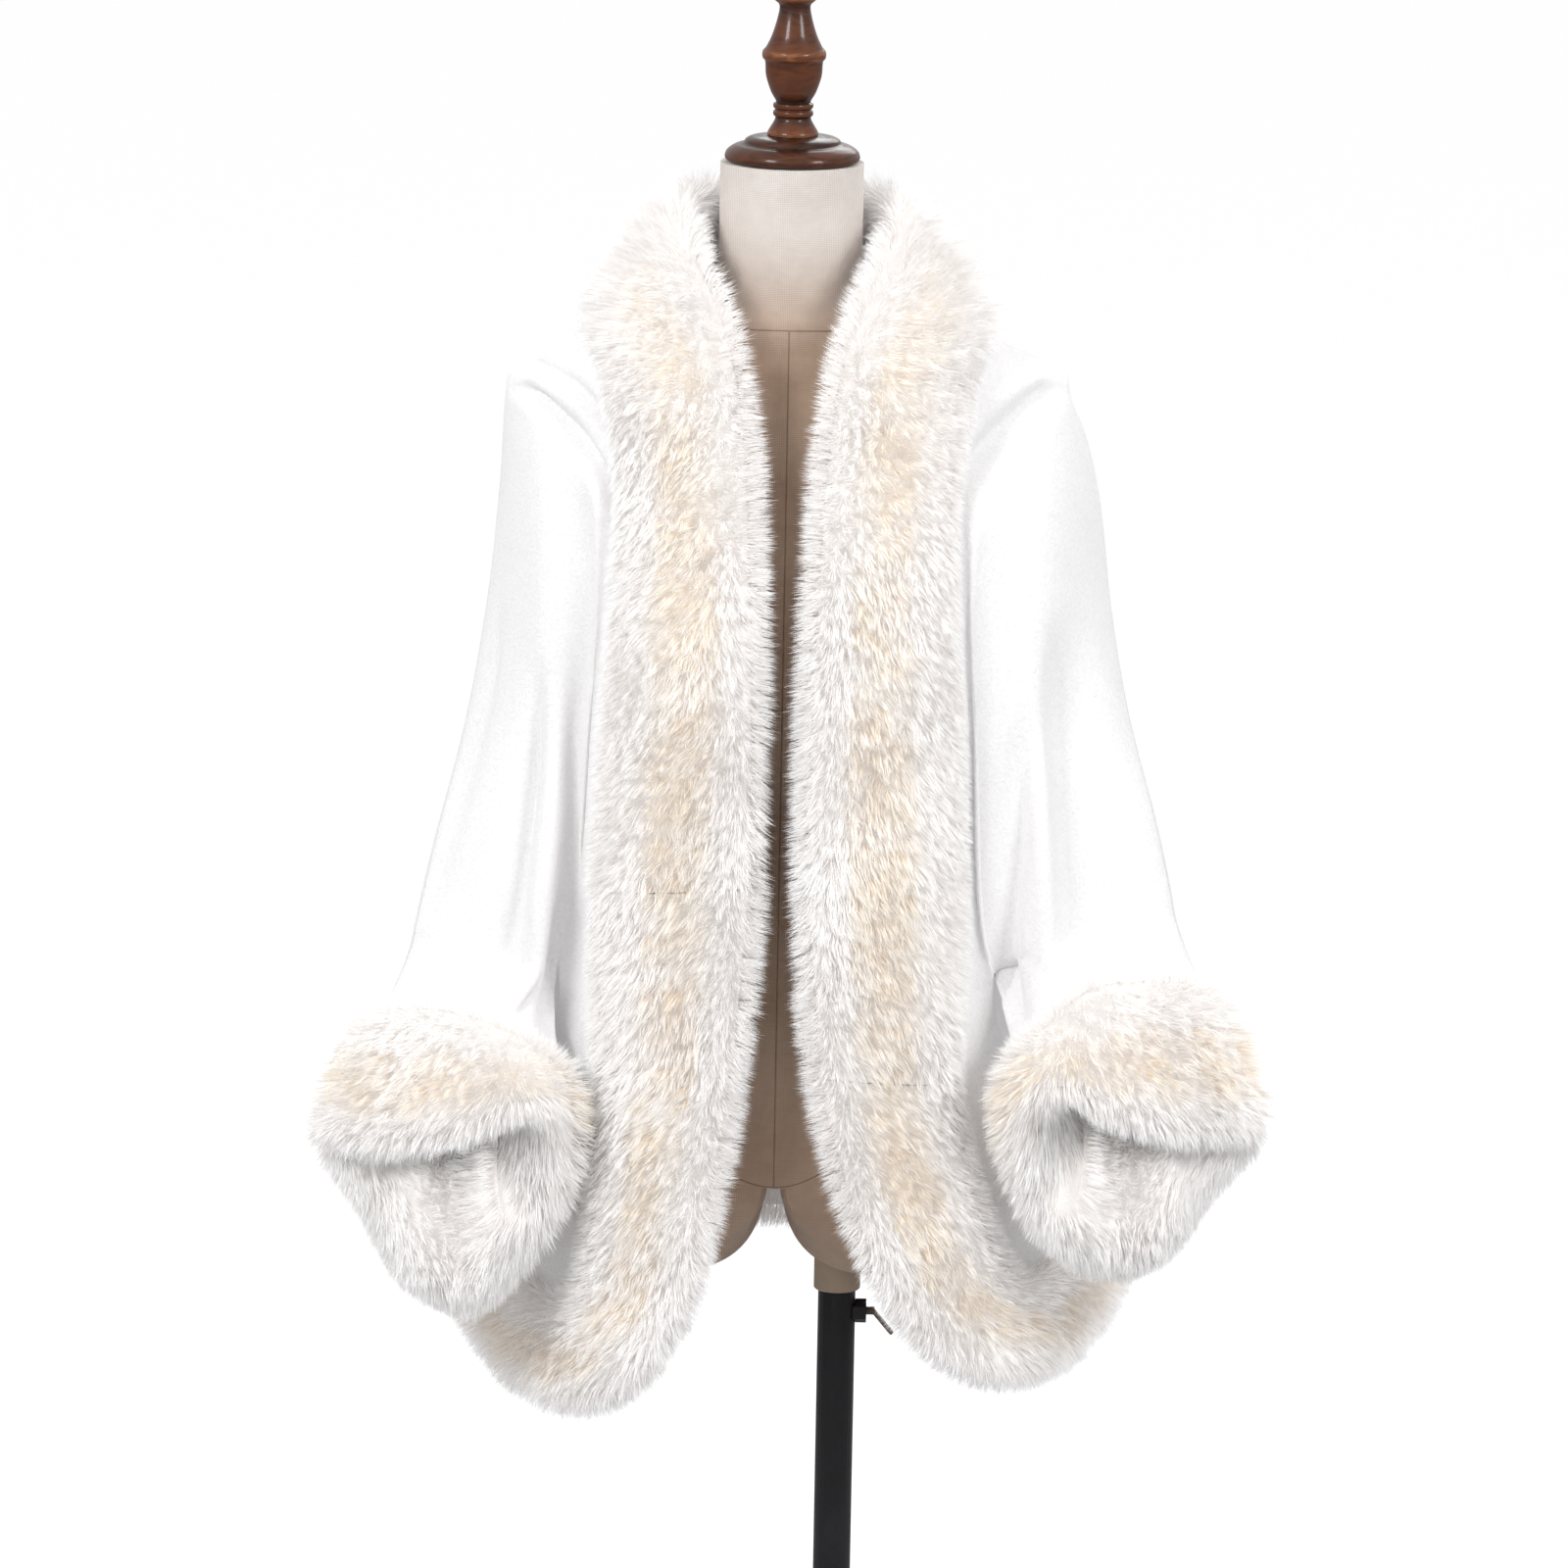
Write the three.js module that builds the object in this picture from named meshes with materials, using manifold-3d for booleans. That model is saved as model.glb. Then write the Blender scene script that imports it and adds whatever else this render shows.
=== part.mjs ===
// An open-front knitted cape with batwing sleeves and a deep fur border and cuffs, on a limbless dress form.
// The form has a linen-covered torso with two short rounded thigh ends, a turned wooden neck cap with a
// finial, and a telescopic pole with a clamp screw on a round base plate.
//
// Units are millimetres, +Z is up and the front faces -Y. The origin is the centre of the base plate's
// underside, on the pole's axis. Right and left are the wearer's: right is -X and left is +X.
//
// The form and the cape are laid out round the form's own upright axis. A "drop" is a distance below the
// rim of the neck. Shapes that both sides share are given for one side, with x measured outwards.
import * as THREE from 'three';
import Module from 'manifold-3d';

const wasm = await Module();
wasm.setup();

// ---------------------------------------------------------------- driving dimensions
const NECK_RIM_HEIGHT = 1400; // height of the neck's rim above the floor
const POLE_OFFSET = 47; // from the form's axis to the pole, which stands in the left thigh
const SEAM_GAP = 0.3; // clearance between pieces that are sewn or fixed together
const SEAM_INSET = 0.45; // from a seam's line to the edge of each panel of cloth
const CLOTH_THICKNESS = 2;
const FUR_THICKNESS = 40; // of the border, pile and all, across its middle
const CUFF_THICKNESS = 42;
const CROTCH_DROP = 745;
const THIGH_END_DROP = 800;
const SOCKET_END_DROP = 817.5;
const SOCKET_RADIUS = 16.8;
const TUBE_RADIUS = 13.5;
const TUBE_WALL = 2.4;
const ROD_RADIUS = 10.4;
const ROD_LENGTH = 400;
const BASE_RADIUS = 180;
const BASE_THICKNESS = 10;
const CLAMP_DROP = 834; // of the clamp screw's axis

// The left side is arranged a little higher and wider than the right.
const SIDES = {
  right: { name: 'right', sign: -1, hemShift: 0, hemLift: 0, spread: 0, sleeveLift: 0, frontSeam: 7.86 },
  left: { name: 'left', sign: 1, hemShift: 30, hemLift: 24, spread: 21, sleeveLift: 30, frontSeam: 9.05 },
};

// ---------------------------------------------------------------- tables
// The torso's level sections: half width, depth to the front and to the back, and how square they are.
const TORSO = table('drop halfWidth front back square', [
  [0, 50.6, 50.6, 50.6, 2],
  [60, 51, 51, 51, 2],
  [85, 53, 52, 53, 2],
  [100, 60, 54, 56, 2],
  [107.6, 80, 56, 59, 2],
  [118.5, 110, 57, 62, 2.1],
  [129.5, 138, 58, 65, 2.2],
  [139.5, 160, 61, 69, 2.2],
  [152, 171, 64, 72, 2.3],
  [166, 181, 70, 77, 2.3],
  [200, 183, 80, 86, 2.3],
  [250, 173, 94, 91, 2.4],
  [320, 161, 104, 92, 2.5],
  [400, 140, 97, 86, 2.4],
  [470, 120, 85, 78, 2.3],
  [540, 138, 90, 90, 2.3],
  [620, 155, 94, 102, 2.3],
  [690, 158, 93, 103, 2.3],
  [CROTCH_DROP, 154, 88, 97, 2.3],
]);

// The fur border is one closed band. Each row is a station on its right half, from the centre back of the
// neck, down the front, round the corner and along the hem to the centre back: first the free edge of
// the band, then the edge that is sewn to the cloth.
const BORDER = table('edgeX edgeY edgeDrop seamX seamY seamDrop', [
  [0, 72, 9, 0, 90, 106], // 0 centre back of the neck
  [48, 57, 12, 80, 67, 112],
  [64, 8, 20, 133, 5, 118], // 2 shoulder line
  [57, -48, 42, 129, -55, 136],
  [32, -88, 92, 120, -88, 180], // 4 collar bone
  [15, -110, 165, 115, -104, 228],
  [6, -138, 275, 116, -116, 306], // 6 bust
  [3, -143, 388, 123, -115, 400],
  [4, -143, 510, 126, -108, 522], // 8 waist
  [14, -143, 625, 124, -104, 638],
  [29, -142, 725, 125, -101, 718], // 10 hip
  [48, -138, 804, 130, -96, 766],
  [83, -128, 866, 138, -86, 797], // 12 front corner
  [133, -100, 895, 153, -66, 812],
  [182, -40, 891, 184, -28, 794],
  [221, 26, 854, 207, 24, 754], // 15 side
  [229, 70, 830, 209, 66, 727],
  [206, 114, 818, 190, 106, 716],
  [148, 142, 814, 136, 130, 711],
  [76, 158, 814, 70, 143, 708],
  [0, 163, 815, 0, 148, 707], // 20 centre back of the hem
]);
const SHOULDER_STATION = 2;
const FRONT_CORNER_STATION = 12;
const CORNER_JOIN_STATION = 13.5; // where the front strip of fur is joined to the hem strip
const SIDE_STATION = 15;
const CENTRE_BACK_STATION = 20;

// The cuffs, rings of the same band, from the outer tip over the front to the inner bend and round the
// back, which hangs lower: first the free edge, then the edge sewn to the sleeve.
const CUFFS = {
  right: table('edgeX edgeY edgeDrop seamX seamY seamDrop', [
    [322, -112, 702, 278, -92, 601], // outer tip
    [276, -140, 702, 248, -120, 590],
    [216, -154, 688, 214, -134, 592], // front
    [172, -158, 668, 180, -136, 606],
    [157, -142, 696, 157, -114, 632], // inner bend
    [164, -114, 772, 158, -86, 654],
    [208, -94, 820, 208, -64, 696], // back
    [262, -86, 802, 250, -58, 672],
    [290, -86, 748, 270, -68, 632],
  ]),
  left: table('edgeX edgeY edgeDrop seamX seamY seamDrop', [
    [342, -112, 688, 299, -92, 572], // outer tip
    [294, -142, 682, 264, -122, 560],
    [240, -160, 666, 218, -140, 564], // front
    [204, -164, 646, 184, -138, 598],
    [188, -144, 686, 170, -118, 618], // inner bend
    [186, -116, 750, 180, -84, 638],
    [222, -96, 782, 224, -64, 668], // back
    [276, -86, 774, 268, -58, 652],
    [310, -88, 728, 292, -68, 604],
  ]),
};
const CUFF_ROWS = 9;
const CUFF_INNER = 4; // row of the inner bend

// The cloth's sections above the underarm, on the right half. A row runs from the border seam at the
// station given, through a valley beside the border and the ridge of the sleeve to the fold over the arm,
// and back through the sleeve's back, the underarm valley, the side and the blade to the centre back.
const SECTIONS = table(
  'station valleyX valleyY ridgeX ridgeY armX armY armDrop ' +
    'rearX rearY tuckX tuckY sideX sideY bladeX bladeY spineY spineDrop',
  [
    [2, 151, 5, 174, 4, 197, 4, 149, 174, 4, 151, 5, 133, 5, 80, 67, 90, 106],
    [3, 150, -52, 180, -36, 199, -4, 168, 188, 30, 172, 52, 142, 70, 82, 92, 100, 150],
    [4, 142, -78, 178, -52, 200, -8, 190, 190, 34, 172, 60, 142, 80, 84, 98, 106, 186],
    [5, 132, -92, 174, -72, 202, -12, 235, 191, 34, 172, 62, 144, 86, 86, 104, 111, 236],
    [6, 128, -94, 172, -90, 209, -24, 312, 195, 28, 174, 52, 150, 86, 92, 108, 114, 312],
    [7, 134, -84, 172, -104, 223, -44, 398, 202, 10, 174, 30, 158, 74, 98, 111, 116, 398],
    [8, 144, -66, 176, -118, 243, -66, 480, 214, -16, 166, -16, 167, 52, 104, 114, 120, 490],
    [8.4, 154, -57, 178, -120, 256, -80, 540, 222, -38, 154, -53, 171, 26, 108, 116, 124, 560],
  ],
);
// Places along a section, counted in its control points.
const AT = { front: 0, valley: 1, ridge: 2, arm: 3, rear: 4, tuck: 5, side: 6, blade: 7, spine: 8 };

// Soft folds of the cloth. Each is a ridge, or a trough where its height is negative. It runs between two
// rows of SECTIONS, and its places at its two ends and its width are counted along the section.
const FOLDS = {
  right: table('from fromPlace to toPlace width height', [
    [0.5, 2.62, 2.8, 1.25, 0.16, -6],
    [0.7, 2.9, 3.9, 1.2, 0.2, -7],
    [4.6, 2.55, 9.9, 2.62, 0.15, -4],
    [4.3, 2.2, 9.9, 2.3, 0.16, -5],
    [4.0, 1.75, 9.9, 1.85, 0.16, -5],
  ]),
  left: table('from fromPlace to toPlace width height', [
    [0.5, 2.85, 4.0, 1.15, 0.3, -9],
    [3.4, 2.3, 9.9, 2.05, 0.3, -9],
    [5.2, 2.6, 9.9, 2.5, 0.16, 4],
    [5.6, 1.6, 9.9, 1.55, 0.16, -5],
  ]),
  back: table('from fromPlace to toPlace width height', [
    [0.8, 3.4, 3.6, 5.2, 0.2, -5],
    [3.4, 4.4, 9.9, 4.3, 0.22, -5],
    [3.0, 5.9, 12, 6.0, 0.2, -6],
    [3.6, 6.5, 12, 6.55, 0.2, 6],
    [4.0, 7.05, 12, 7.1, 0.2, -6],
    [4.6, 7.5, 12, 7.5, 0.18, 5],
  ]),
};

// The turned neck cap and finial: radius and height above the neck's rim, from the axis outwards.
const CAP = [
  [0, 0.3],
  [46, 0.3],
  [47.5, 3],
  [47, 7],
  [43, 12],
  [34, 16.5],
  [21, 19],
  [0, 19],
];
const FINIAL = [
  [0, 19.3],
  [18, 19.3],
  [17.6, 22],
  [13.5, 29],
  [12.6, 32],
  [14, 33.5],
  [14, 36],
  [12.8, 37.5],
  [14, 39],
  [14, 41.5],
  [12.2, 43],
  [16, 50],
  [19.6, 61],
  [20.4, 71],
  [22.3, 74],
  [22.3, 78.5],
  [19.6, 82],
  [15.5, 91],
  [12, 103],
  [11, 111],
  [14.6, 115],
  [14.8, 119.5],
  [11, 124],
  [15, 133],
  [17.5, 143],
  [15.5, 153],
  [9, 160],
  [0, 162],
];

// ---------------------------------------------------------------- small mathematics
// Rows of numbers as objects with the named columns.
function table(columns, rows) {
  const names = columns.split(' ');
  return rows.map((row) => Object.fromEntries(names.map((name, i) => [name, row[i]])));
}

const clamp = (x, low, high) => Math.min(Math.max(x, low), high);
const mix = (a, b, t) => a + (b - a) * t;
const ease = (x, low, high) => {
  const t = clamp((x - low) / (high - low), 0, 1);
  return t * t * (3 - 2 * t);
};

// Catmull-Rom value at t between b and c.
function spline(a, b, c, d, t) {
  const square = t * t;
  return 0.5 * (2 * b + (c - a) * t + (2 * a - 5 * b + 4 * c - d) * square
    + (3 * b - a - 3 * c + d) * square * t);
}

// Smooth value at a fractional place in a list of numbers. The ends run straight on, or the list closes.
function along(values, place, closed = false) {
  const n = values.length;
  const last = n - 1;
  if (closed) {
    const i = Math.floor(place);
    const at = (k) => values[((k % n) + n) % n];
    return spline(at(i - 1), at(i), at(i + 1), at(i + 2), place - i);
  }
  const i = clamp(Math.floor(place), 0, last - 1);
  const before = i > 0 ? values[i - 1] : 2 * values[0] - values[1];
  const after = i + 2 <= last ? values[i + 2] : 2 * values[last] - values[last - 1];
  return spline(before, values[i], values[i + 1], after, place - i);
}

// One column of a table at a fractional row.
const column = (rows, name, place, closed) => along(rows.map((row) => row[name]), place, closed);

const vector = (x, y, z) => new THREE.Vector3(x, y, z);

// A point of the unit superellipse |u|^n + |v|^n = 1.
const superellipse = (angle, n) =>
  [Math.cos(angle), Math.sin(angle)].map((x) => Math.sign(x) * Math.abs(x) ** (2 / n));

// A cubic from one point to another with the given directions.
function hermite(p, dp, q, dq, t) {
  const s = t * t;
  const c = s * t;
  return p.clone().multiplyScalar(2 * c - 3 * s + 1)
    .addScaledVector(dp, c - 2 * s + t)
    .addScaledVector(q, 3 * s - 2 * c)
    .addScaledVector(dq, c - s);
}

// ---------------------------------------------------------------- the border and cuffs as curves
// Points hold x, y and drop, and the left side is shifted and lifted by its own amounts.
function settle(point, side) {
  const low = ease(point.z, 600, 850) * ease(-point.y, -140, 20);
  const hang = low * ease(point.x, 10, 120);
  return vector((point.x + side.hemShift * (0.35 * low + 0.65 * hang)) * side.sign, point.y,
    point.z - side.hemLift * low);
}

function borderPoint(side, place, line) {
  const station = Math.abs(place);
  const point = vector(
    column(BORDER, line + 'X', station),
    column(BORDER, line + 'Y', station),
    column(BORDER, line + 'Drop', station),
  );
  if (station < 1 || station > CENTRE_BACK_STATION - 1) levelAtCentre(point, station, line);
  return settle(point, side);
}

// Round the centre back the band runs level into its mirror image.
function levelAtCentre(point, station, line) {
  const end = station < 1 ? 0 : CENTRE_BACK_STATION;
  const next = end ? end - 1 : 1;
  const t = Math.abs(station - end);
  const a = BORDER[end];
  const b = BORDER[next];
  const c = BORDER[end ? end - 2 : 2];
  point.x = spline(-b[line + 'X'], a[line + 'X'], b[line + 'X'], c[line + 'X'], t);
  point.y = spline(b[line + 'Y'], a[line + 'Y'], b[line + 'Y'], c[line + 'Y'], t);
  point.z = spline(b[line + 'Drop'], a[line + 'Drop'], b[line + 'Drop'], c[line + 'Drop'], t);
}

function cuffPoint(side, place, line) {
  const at = (axis) => column(CUFFS[side.name], line + axis, place, true);
  return vector(at('X') * side.sign, at('Y'), at('Drop'));
}

// ---------------------------------------------------------------- the cloth as a surface
const LAST_ROW = SECTIONS.length - 1;

const stationOf = (row) => column(SECTIONS, 'station', row);

// The control points of one section on the given side, at a fractional row of SECTIONS.
function sectionControls(side, row) {
  const at = (name) => column(SECTIONS, name, row);
  const front = borderPoint(side, at('station'), 'seam');
  const spread = side.spread * ease(row, 0.5, 3.6);
  const lift = side.sleeveLift * ease(row, 3, LAST_ROW);
  const point = (name, drop, share) =>
    vector((at(name + 'X') + spread * share) * side.sign, at(name + 'Y'), drop - lift * share);
  const down = (share) => mix(front.z, at('armDrop'), share);
  const up = (share) => mix(at('armDrop'), at('spineDrop'), share);
  // On the shoulder line the back meets the front, and at the underarm the sleeve closes.
  const shoulder = 1 - ease(row, 0, 1);
  const rearDrop = mix(up(0.15), down(0.6), shoulder);
  const tuckDrop = mix(mix(up(0.35), down(0.3), shoulder), down(0.3), ease(row, 5, LAST_ROW));
  const sideDrop = mix(up(0.55), front.z, shoulder);
  return [
    front,
    point('valley', down(0.3), 0),
    point('ridge', down(0.6), 0.6),
    point('arm', at('armDrop'), 1),
    point('rear', rearDrop, 0.6),
    point('tuck', tuckDrop, 0),
    point('side', sideDrop, 0),
    point('blade', up(0.8), 0),
    vector(0, at('spineY'), at('spineDrop')),
  ];
}

// A point of the smooth cloth above the underarm.
function smoothPoint(side, row, place) {
  if (row === 0 && place >= AT.side) return borderPoint(side, SHOULDER_STATION - (place - AT.side), 'seam');
  if (row === 0 && place > AT.arm) return smoothPoint(side, row, 2 * AT.arm - place);
  if (place === AT.front) return borderPoint(side, stationOf(row), 'seam');
  const controls = sectionControls(side, row);
  // Past the spine the section runs on into its mirror image.
  const mirror = controls[AT.blade].clone();
  mirror.x *= -1;
  return vector(...['x', 'y', 'z'].map((axis) => {
    const values = controls.map((point) => point[axis]);
    if (place <= AT.blade) return along(values, place);
    return spline(values[AT.side], values[AT.blade], values[AT.spine], mirror[axis], place - AT.blade);
  }));
}

// How far the folds lift the cloth off its section. They die out at the seams.
function foldHeight(side, row, place) {
  const folds = place < AT.arm ? FOLDS[side.name] : FOLDS.back;
  const taper = ease(place, 0, 0.4) * ease(Math.abs(place - AT.arm), 0, 0.2) * ease(AT.spine - place, 0, 0.3);
  return taper * folds.reduce((height, fold) => {
    const run = (row - fold.from) / (fold.to - fold.from);
    const across = (place - mix(fold.fromPlace, fold.toPlace, run)) / fold.width;
    const share = ease(row, fold.from, fold.from + 1.2) * (1 - ease(row, fold.to - 1, fold.to));
    return height + fold.height * share * Math.exp(-across * across);
  }, 0);
}

// A point of the cloth with its folds. Outwards is found from a short step either way along the section.
function clothPoint(side, row, place) {
  const point = smoothPoint(side, row, place);
  const height = foldHeight(side, row, place);
  if (Math.abs(height) < 1e-3) return point;
  const step = 0.02;
  const across = smoothPoint(side, row, place + step).sub(smoothPoint(side, row, place - step));
  const outwards = vector(across.y, -across.x, 0).normalize().multiplyScalar(side.sign);
  return point.addScaledVector(outwards, height);
}

// From the section at the underarm down to a point of the border's or the cuff's seam.
function hangingPoint(side, place, t, target) {
  const top = clothPoint(side, LAST_ROW, place);
  const above = clothPoint(side, LAST_ROW - 0.25, place);
  const start = top.clone().sub(above).normalize().multiplyScalar(top.distanceTo(target));
  start.x *= 0.5;
  start.y *= 0.5;
  return hermite(top, start, target, target.clone().sub(top), t);
}

// The body's hem line, for a place on the section at the underarm.
function hemStation(place) {
  if (place <= AT.valley) return mix(FRONT_CORNER_STATION, SIDE_STATION, place / AT.valley);
  return mix(SIDE_STATION, CENTRE_BACK_STATION, (place - AT.tuck) / (AT.spine - AT.tuck));
}

// The cuff's seam, for a place on the section: from the inner bend over the front to the tip and back.
function cuffPlace(place) {
  if (place <= AT.arm) return mix(CUFF_INNER, 0, (place - AT.valley) / (AT.arm - AT.valley));
  return mix(CUFF_ROWS, CUFF_INNER, (place - AT.arm) / (AT.tuck - AT.arm));
}

const bodyHang = (side, place, t) =>
  hangingPoint(side, place, t, borderPoint(side, hemStation(place), 'seam'));
const sleeveHang = (side, place, t) =>
  hangingPoint(side, place, t, cuffPoint(side, cuffPlace(place), 'seam'));

// Below the underarm the front's valley and the back's tuck are drawn together into one seam, within a
// reach counted in places. The seam bulges away from the body, or towards it where away is negative.
function seamed(hang, side, place, t, away) {
  const reach = 0.9;
  const own = hang(side, place, t);
  if (t === 0) return own;
  const front = hang(side, AT.valley, t);
  const back = hang(side, AT.tuck, t);
  const middle = front.clone().add(back).multiplyScalar(0.5);
  const nearest = Math.abs(place - AT.valley) < Math.abs(place - AT.tuck) ? AT.valley : AT.tuck;
  const share = 1 - ease(Math.abs(place - nearest), 0, reach);
  own.addScaledVector(middle.sub(nearest === AT.valley ? front : back), share);
  own.x += side.sign * away * share * t * (1 - t) ** 2;
  return own;
}

const BODY_SEAM_BULGE = -30;
const SLEEVE_SEAM_BULGE = 16;

function bodyPoint(side, place, t) {
  const point = seamed(bodyHang, side, place, t, BODY_SEAM_BULGE);
  if (place > AT.valley) return point;
  // Beside the border the cloth follows the border's seam exactly.
  const seam = borderPoint(side, mix(stationOf(LAST_ROW), FRONT_CORNER_STATION, t), 'seam');
  const share = (1 - place / AT.valley) ** 2;
  return point.add(seam.sub(bodyHang(side, AT.front, t)).multiplyScalar(share));
}

const sleevePoint = (side, place, t) => seamed(sleeveHang, side, place, t, SLEEVE_SEAM_BULGE);

// ---------------------------------------------------------------- solids
// A mesh of one closed solid, in the form's frame: x, y and drop become x, y and -z.
function piece(name, points, triangles, material) {
  const geometry = new THREE.BufferGeometry();
  geometry.setAttribute('position', new THREE.Float32BufferAttribute(
    points.flatMap((p) => [p.x, p.y, -p.z]), 3));
  geometry.setIndex(signedVolume(points, triangles) > 0
    ? triangles.flatMap(([a, b, c]) => [a, c, b])
    : triangles.flat());
  geometry.computeVertexNormals();
  const mesh = new THREE.Mesh(geometry, material);
  mesh.name = name;
  return mesh;
}

function signedVolume(points, triangles) {
  return triangles.reduce((sum, [a, b, c]) =>
    sum + points[a].dot(points[b].clone().cross(points[c])), 0);
}

// Grid patches of several panels of cloth, collected into one surface. Points that coincide are joined,
// so that panels share their points along a seam.
class Surface {
  points = [];
  quads = [];
  found = new Map();

  point(p) {
    const key = [p.x, p.y, p.z].map((x) => Math.round(x * 1e4)).join(',');
    if (!this.found.has(key)) {
      this.found.set(key, this.points.length);
      this.points.push(p);
    }
    return this.found.get(key);
  }

  patch(panel, side, rows) {
    const index = rows.map((row) => row.map((p) => this.point(p)));
    for (let i = 0; i + 1 < index.length; i += 1) {
      for (let j = 0; j + 1 < index[i].length; j += 1) {
        const [a, b, c, d] = [index[i][j], index[i][j + 1], index[i + 1][j + 1], index[i + 1][j]];
        this.quads.push({ panel, corners: side.sign < 0 ? [a, b, c, d] : [a, d, c, b] });
      }
    }
  }

  // The sum of the quads' normals at each point, over the given quads.
  normals(quads) {
    const sums = this.points.map(() => vector(0, 0, 0));
    for (const { corners } of quads) {
      const [a, b, c, d] = corners.map((i) => this.points[i]);
      const normal = c.clone().sub(a).cross(d.clone().sub(b));
      corners.forEach((i) => sums[i].add(normal));
    }
    return sums.map((normal) => normal.normalize());
  }

  // One panel as a closed wall. At a seam its points draw back from the next panel by the inset, and
  // its thickness runs along the normal that both panels share, so their edges face each other.
  wall(panel, material) {
    const own = this.quads.filter((quad) => quad.panel === panel);
    const shared = this.normals(this.quads);
    const lone = this.normals(own);
    const others = new Set(this.quads.filter((quad) => quad.panel !== panel).flatMap((q) => q.corners));
    const index = new Map();
    const inwards = new Map();
    for (const { corners } of own) {
      const centre = corners.reduce((sum, i) => sum.add(this.points[i]), vector(0, 0, 0)).divideScalar(4);
      for (const i of corners) {
        if (!index.has(i)) {
          index.set(i, index.size);
          inwards.set(i, vector(0, 0, 0));
        }
        inwards.get(i).add(centre.clone().sub(this.points[i]));
      }
    }
    const half = CLOTH_THICKNESS / 2;
    const faces = [1, -1].map((face) => [...index.keys()].map((i) => {
      const normal = shared[i];
      const p = this.points[i].clone();
      if (others.has(i)) p.addScaledVector(inwards.get(i).projectOnPlane(normal).normalize(), SEAM_INSET);
      return p.addScaledVector(normal, (face * half) / Math.max(normal.dot(lone[i]), 0.6));
    }));
    const n = index.size;
    const triangles = [];
    const edges = new Map();
    for (const quad of own) {
      const [a, b, c, d] = quad.corners.map((i) => index.get(i));
      triangles.push([a, b, c], [a, c, d], [n + a, n + c, n + b], [n + a, n + d, n + c]);
      [[a, b], [b, c], [c, d], [d, a]].forEach((edge) => edges.set(edge.join(), edge));
    }
    for (const [a, b] of edges.values()) {
      if (!edges.has([b, a].join())) triangles.push([b, a, n + a], [b, n + a, n + b]);
    }
    return piece(panel, faces.flat(), triangles, material);
  }
}

const steps = (from, to, count) => Array.from({ length: count + 1 }, (_, i) => mix(from, to, i / count));

// A closed solid through rings of equally many points. Open ends are closed by a fan on their centre.
function loft(name, rings, material, closed = false) {
  const points = rings.flat();
  const size = rings[0].length;
  const triangles = [];
  const count = closed ? rings.length : rings.length - 1;
  for (let i = 0; i < count; i += 1) {
    const next = (i + 1) % rings.length;
    for (let j = 0; j < size; j += 1) {
      const k = (j + 1) % size;
      const [a, b, c, d] = [i * size + j, i * size + k, next * size + k, next * size + j];
      triangles.push([a, b, c], [a, c, d]);
    }
  }
  if (!closed) {
    [[0, rings[0]], [(rings.length - 1) * size, rings.at(-1)]].forEach(([start, ring], end) => {
      const centre = ring.reduce((sum, p) => sum.add(p), vector(0, 0, 0)).divideScalar(size);
      const tip = points.push(centre) - 1;
      for (let j = 0; j < size; j += 1) {
        const [a, b] = [start + j, start + (j + 1) % size];
        triangles.push(end ? [a, b, tip] : [b, a, tip]);
      }
    });
  }
  return piece(name, points, triangles, material);
}

// A fur band between its seam and its free edge: flattened round sections across the band.
const BAND_SIDES = 12;
const BAND_SQUARENESS = 2.5; // 2 is an ellipse, and more is fuller
const BAND_START = 0.7; // from the seam's line to the fur, which leaves a seam's gap beside the cloth
function bandRing(seam, edge, ahead, thickness) {
  const across = edge.clone().sub(seam);
  const width = across.length();
  across.normalize();
  const centre = seam.clone().add(edge).addScaledVector(across, BAND_START).multiplyScalar(0.5);
  const outwards = ahead.clone().cross(across).normalize();
  return steps(0, BAND_SIDES - 1, BAND_SIDES - 1).map((i) => {
    const [u, v] = superellipse((2 * Math.PI * i) / BAND_SIDES, BAND_SQUARENESS);
    return centre.clone()
      .addScaledVector(across, (u * (width - BAND_START)) / 2)
      .addScaledVector(outwards, (v * thickness) / 2);
  });
}

// A band through the given places of a curve, or all round when it closes.
function band(name, curve, places, thickness, closed = false) {
  const step = 0.05;
  const middle = (at) => curve(at, 'seam').add(curve(at, 'edge')).multiplyScalar(0.5);
  const rings = places.map((place) => {
    const ahead = middle(place + step).sub(middle(place - step));
    return bandRing(curve(place, 'seam'), curve(place, 'edge'), ahead, thickness);
  });
  return loft(name, rings, materials.fur, closed);
}

// A turned solid about the upright through (x, y), from radius and height pairs that close on the axis
// or on themselves. Heights are above the neck's rim.
function turned(name, profile, material, x = 0, segments = 24) {
  const geometry = new THREE.LatheGeometry(profile.map(([r, h]) => new THREE.Vector2(r, h)), segments);
  geometry.rotateX(Math.PI / 2);
  geometry.translate(x, 0, 0);
  const mesh = new THREE.Mesh(geometry, material);
  mesh.name = name;
  return mesh;
}

// A hollow or solid upright cylinder as a closed profile.
const tubeProfile = (inner, outer, top, bottom) =>
  inner > 0
    ? [[inner, bottom], [outer, bottom], [outer, top], [inner, top], [inner, bottom]]
    : [[0, bottom], [outer, bottom], [outer, top], [0, top]];

// ---------------------------------------------------------------- materials
const finish = (color, roughness, metalness = 0) =>
  new THREE.MeshStandardMaterial({ color, roughness, metalness });
const materials = {
  cloth: finish(0xf6f4f1, 0.95),
  fur: finish(0xf4ece0, 0.95),
  linen: finish(0xd9cdc0, 0.9),
  wood: finish(0x4a1f10, 0.3),
  enamel: finish(0x17171b, 0.4, 0.2),
  steel: finish(0xb9b9bc, 0.3, 0.9),
};

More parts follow.
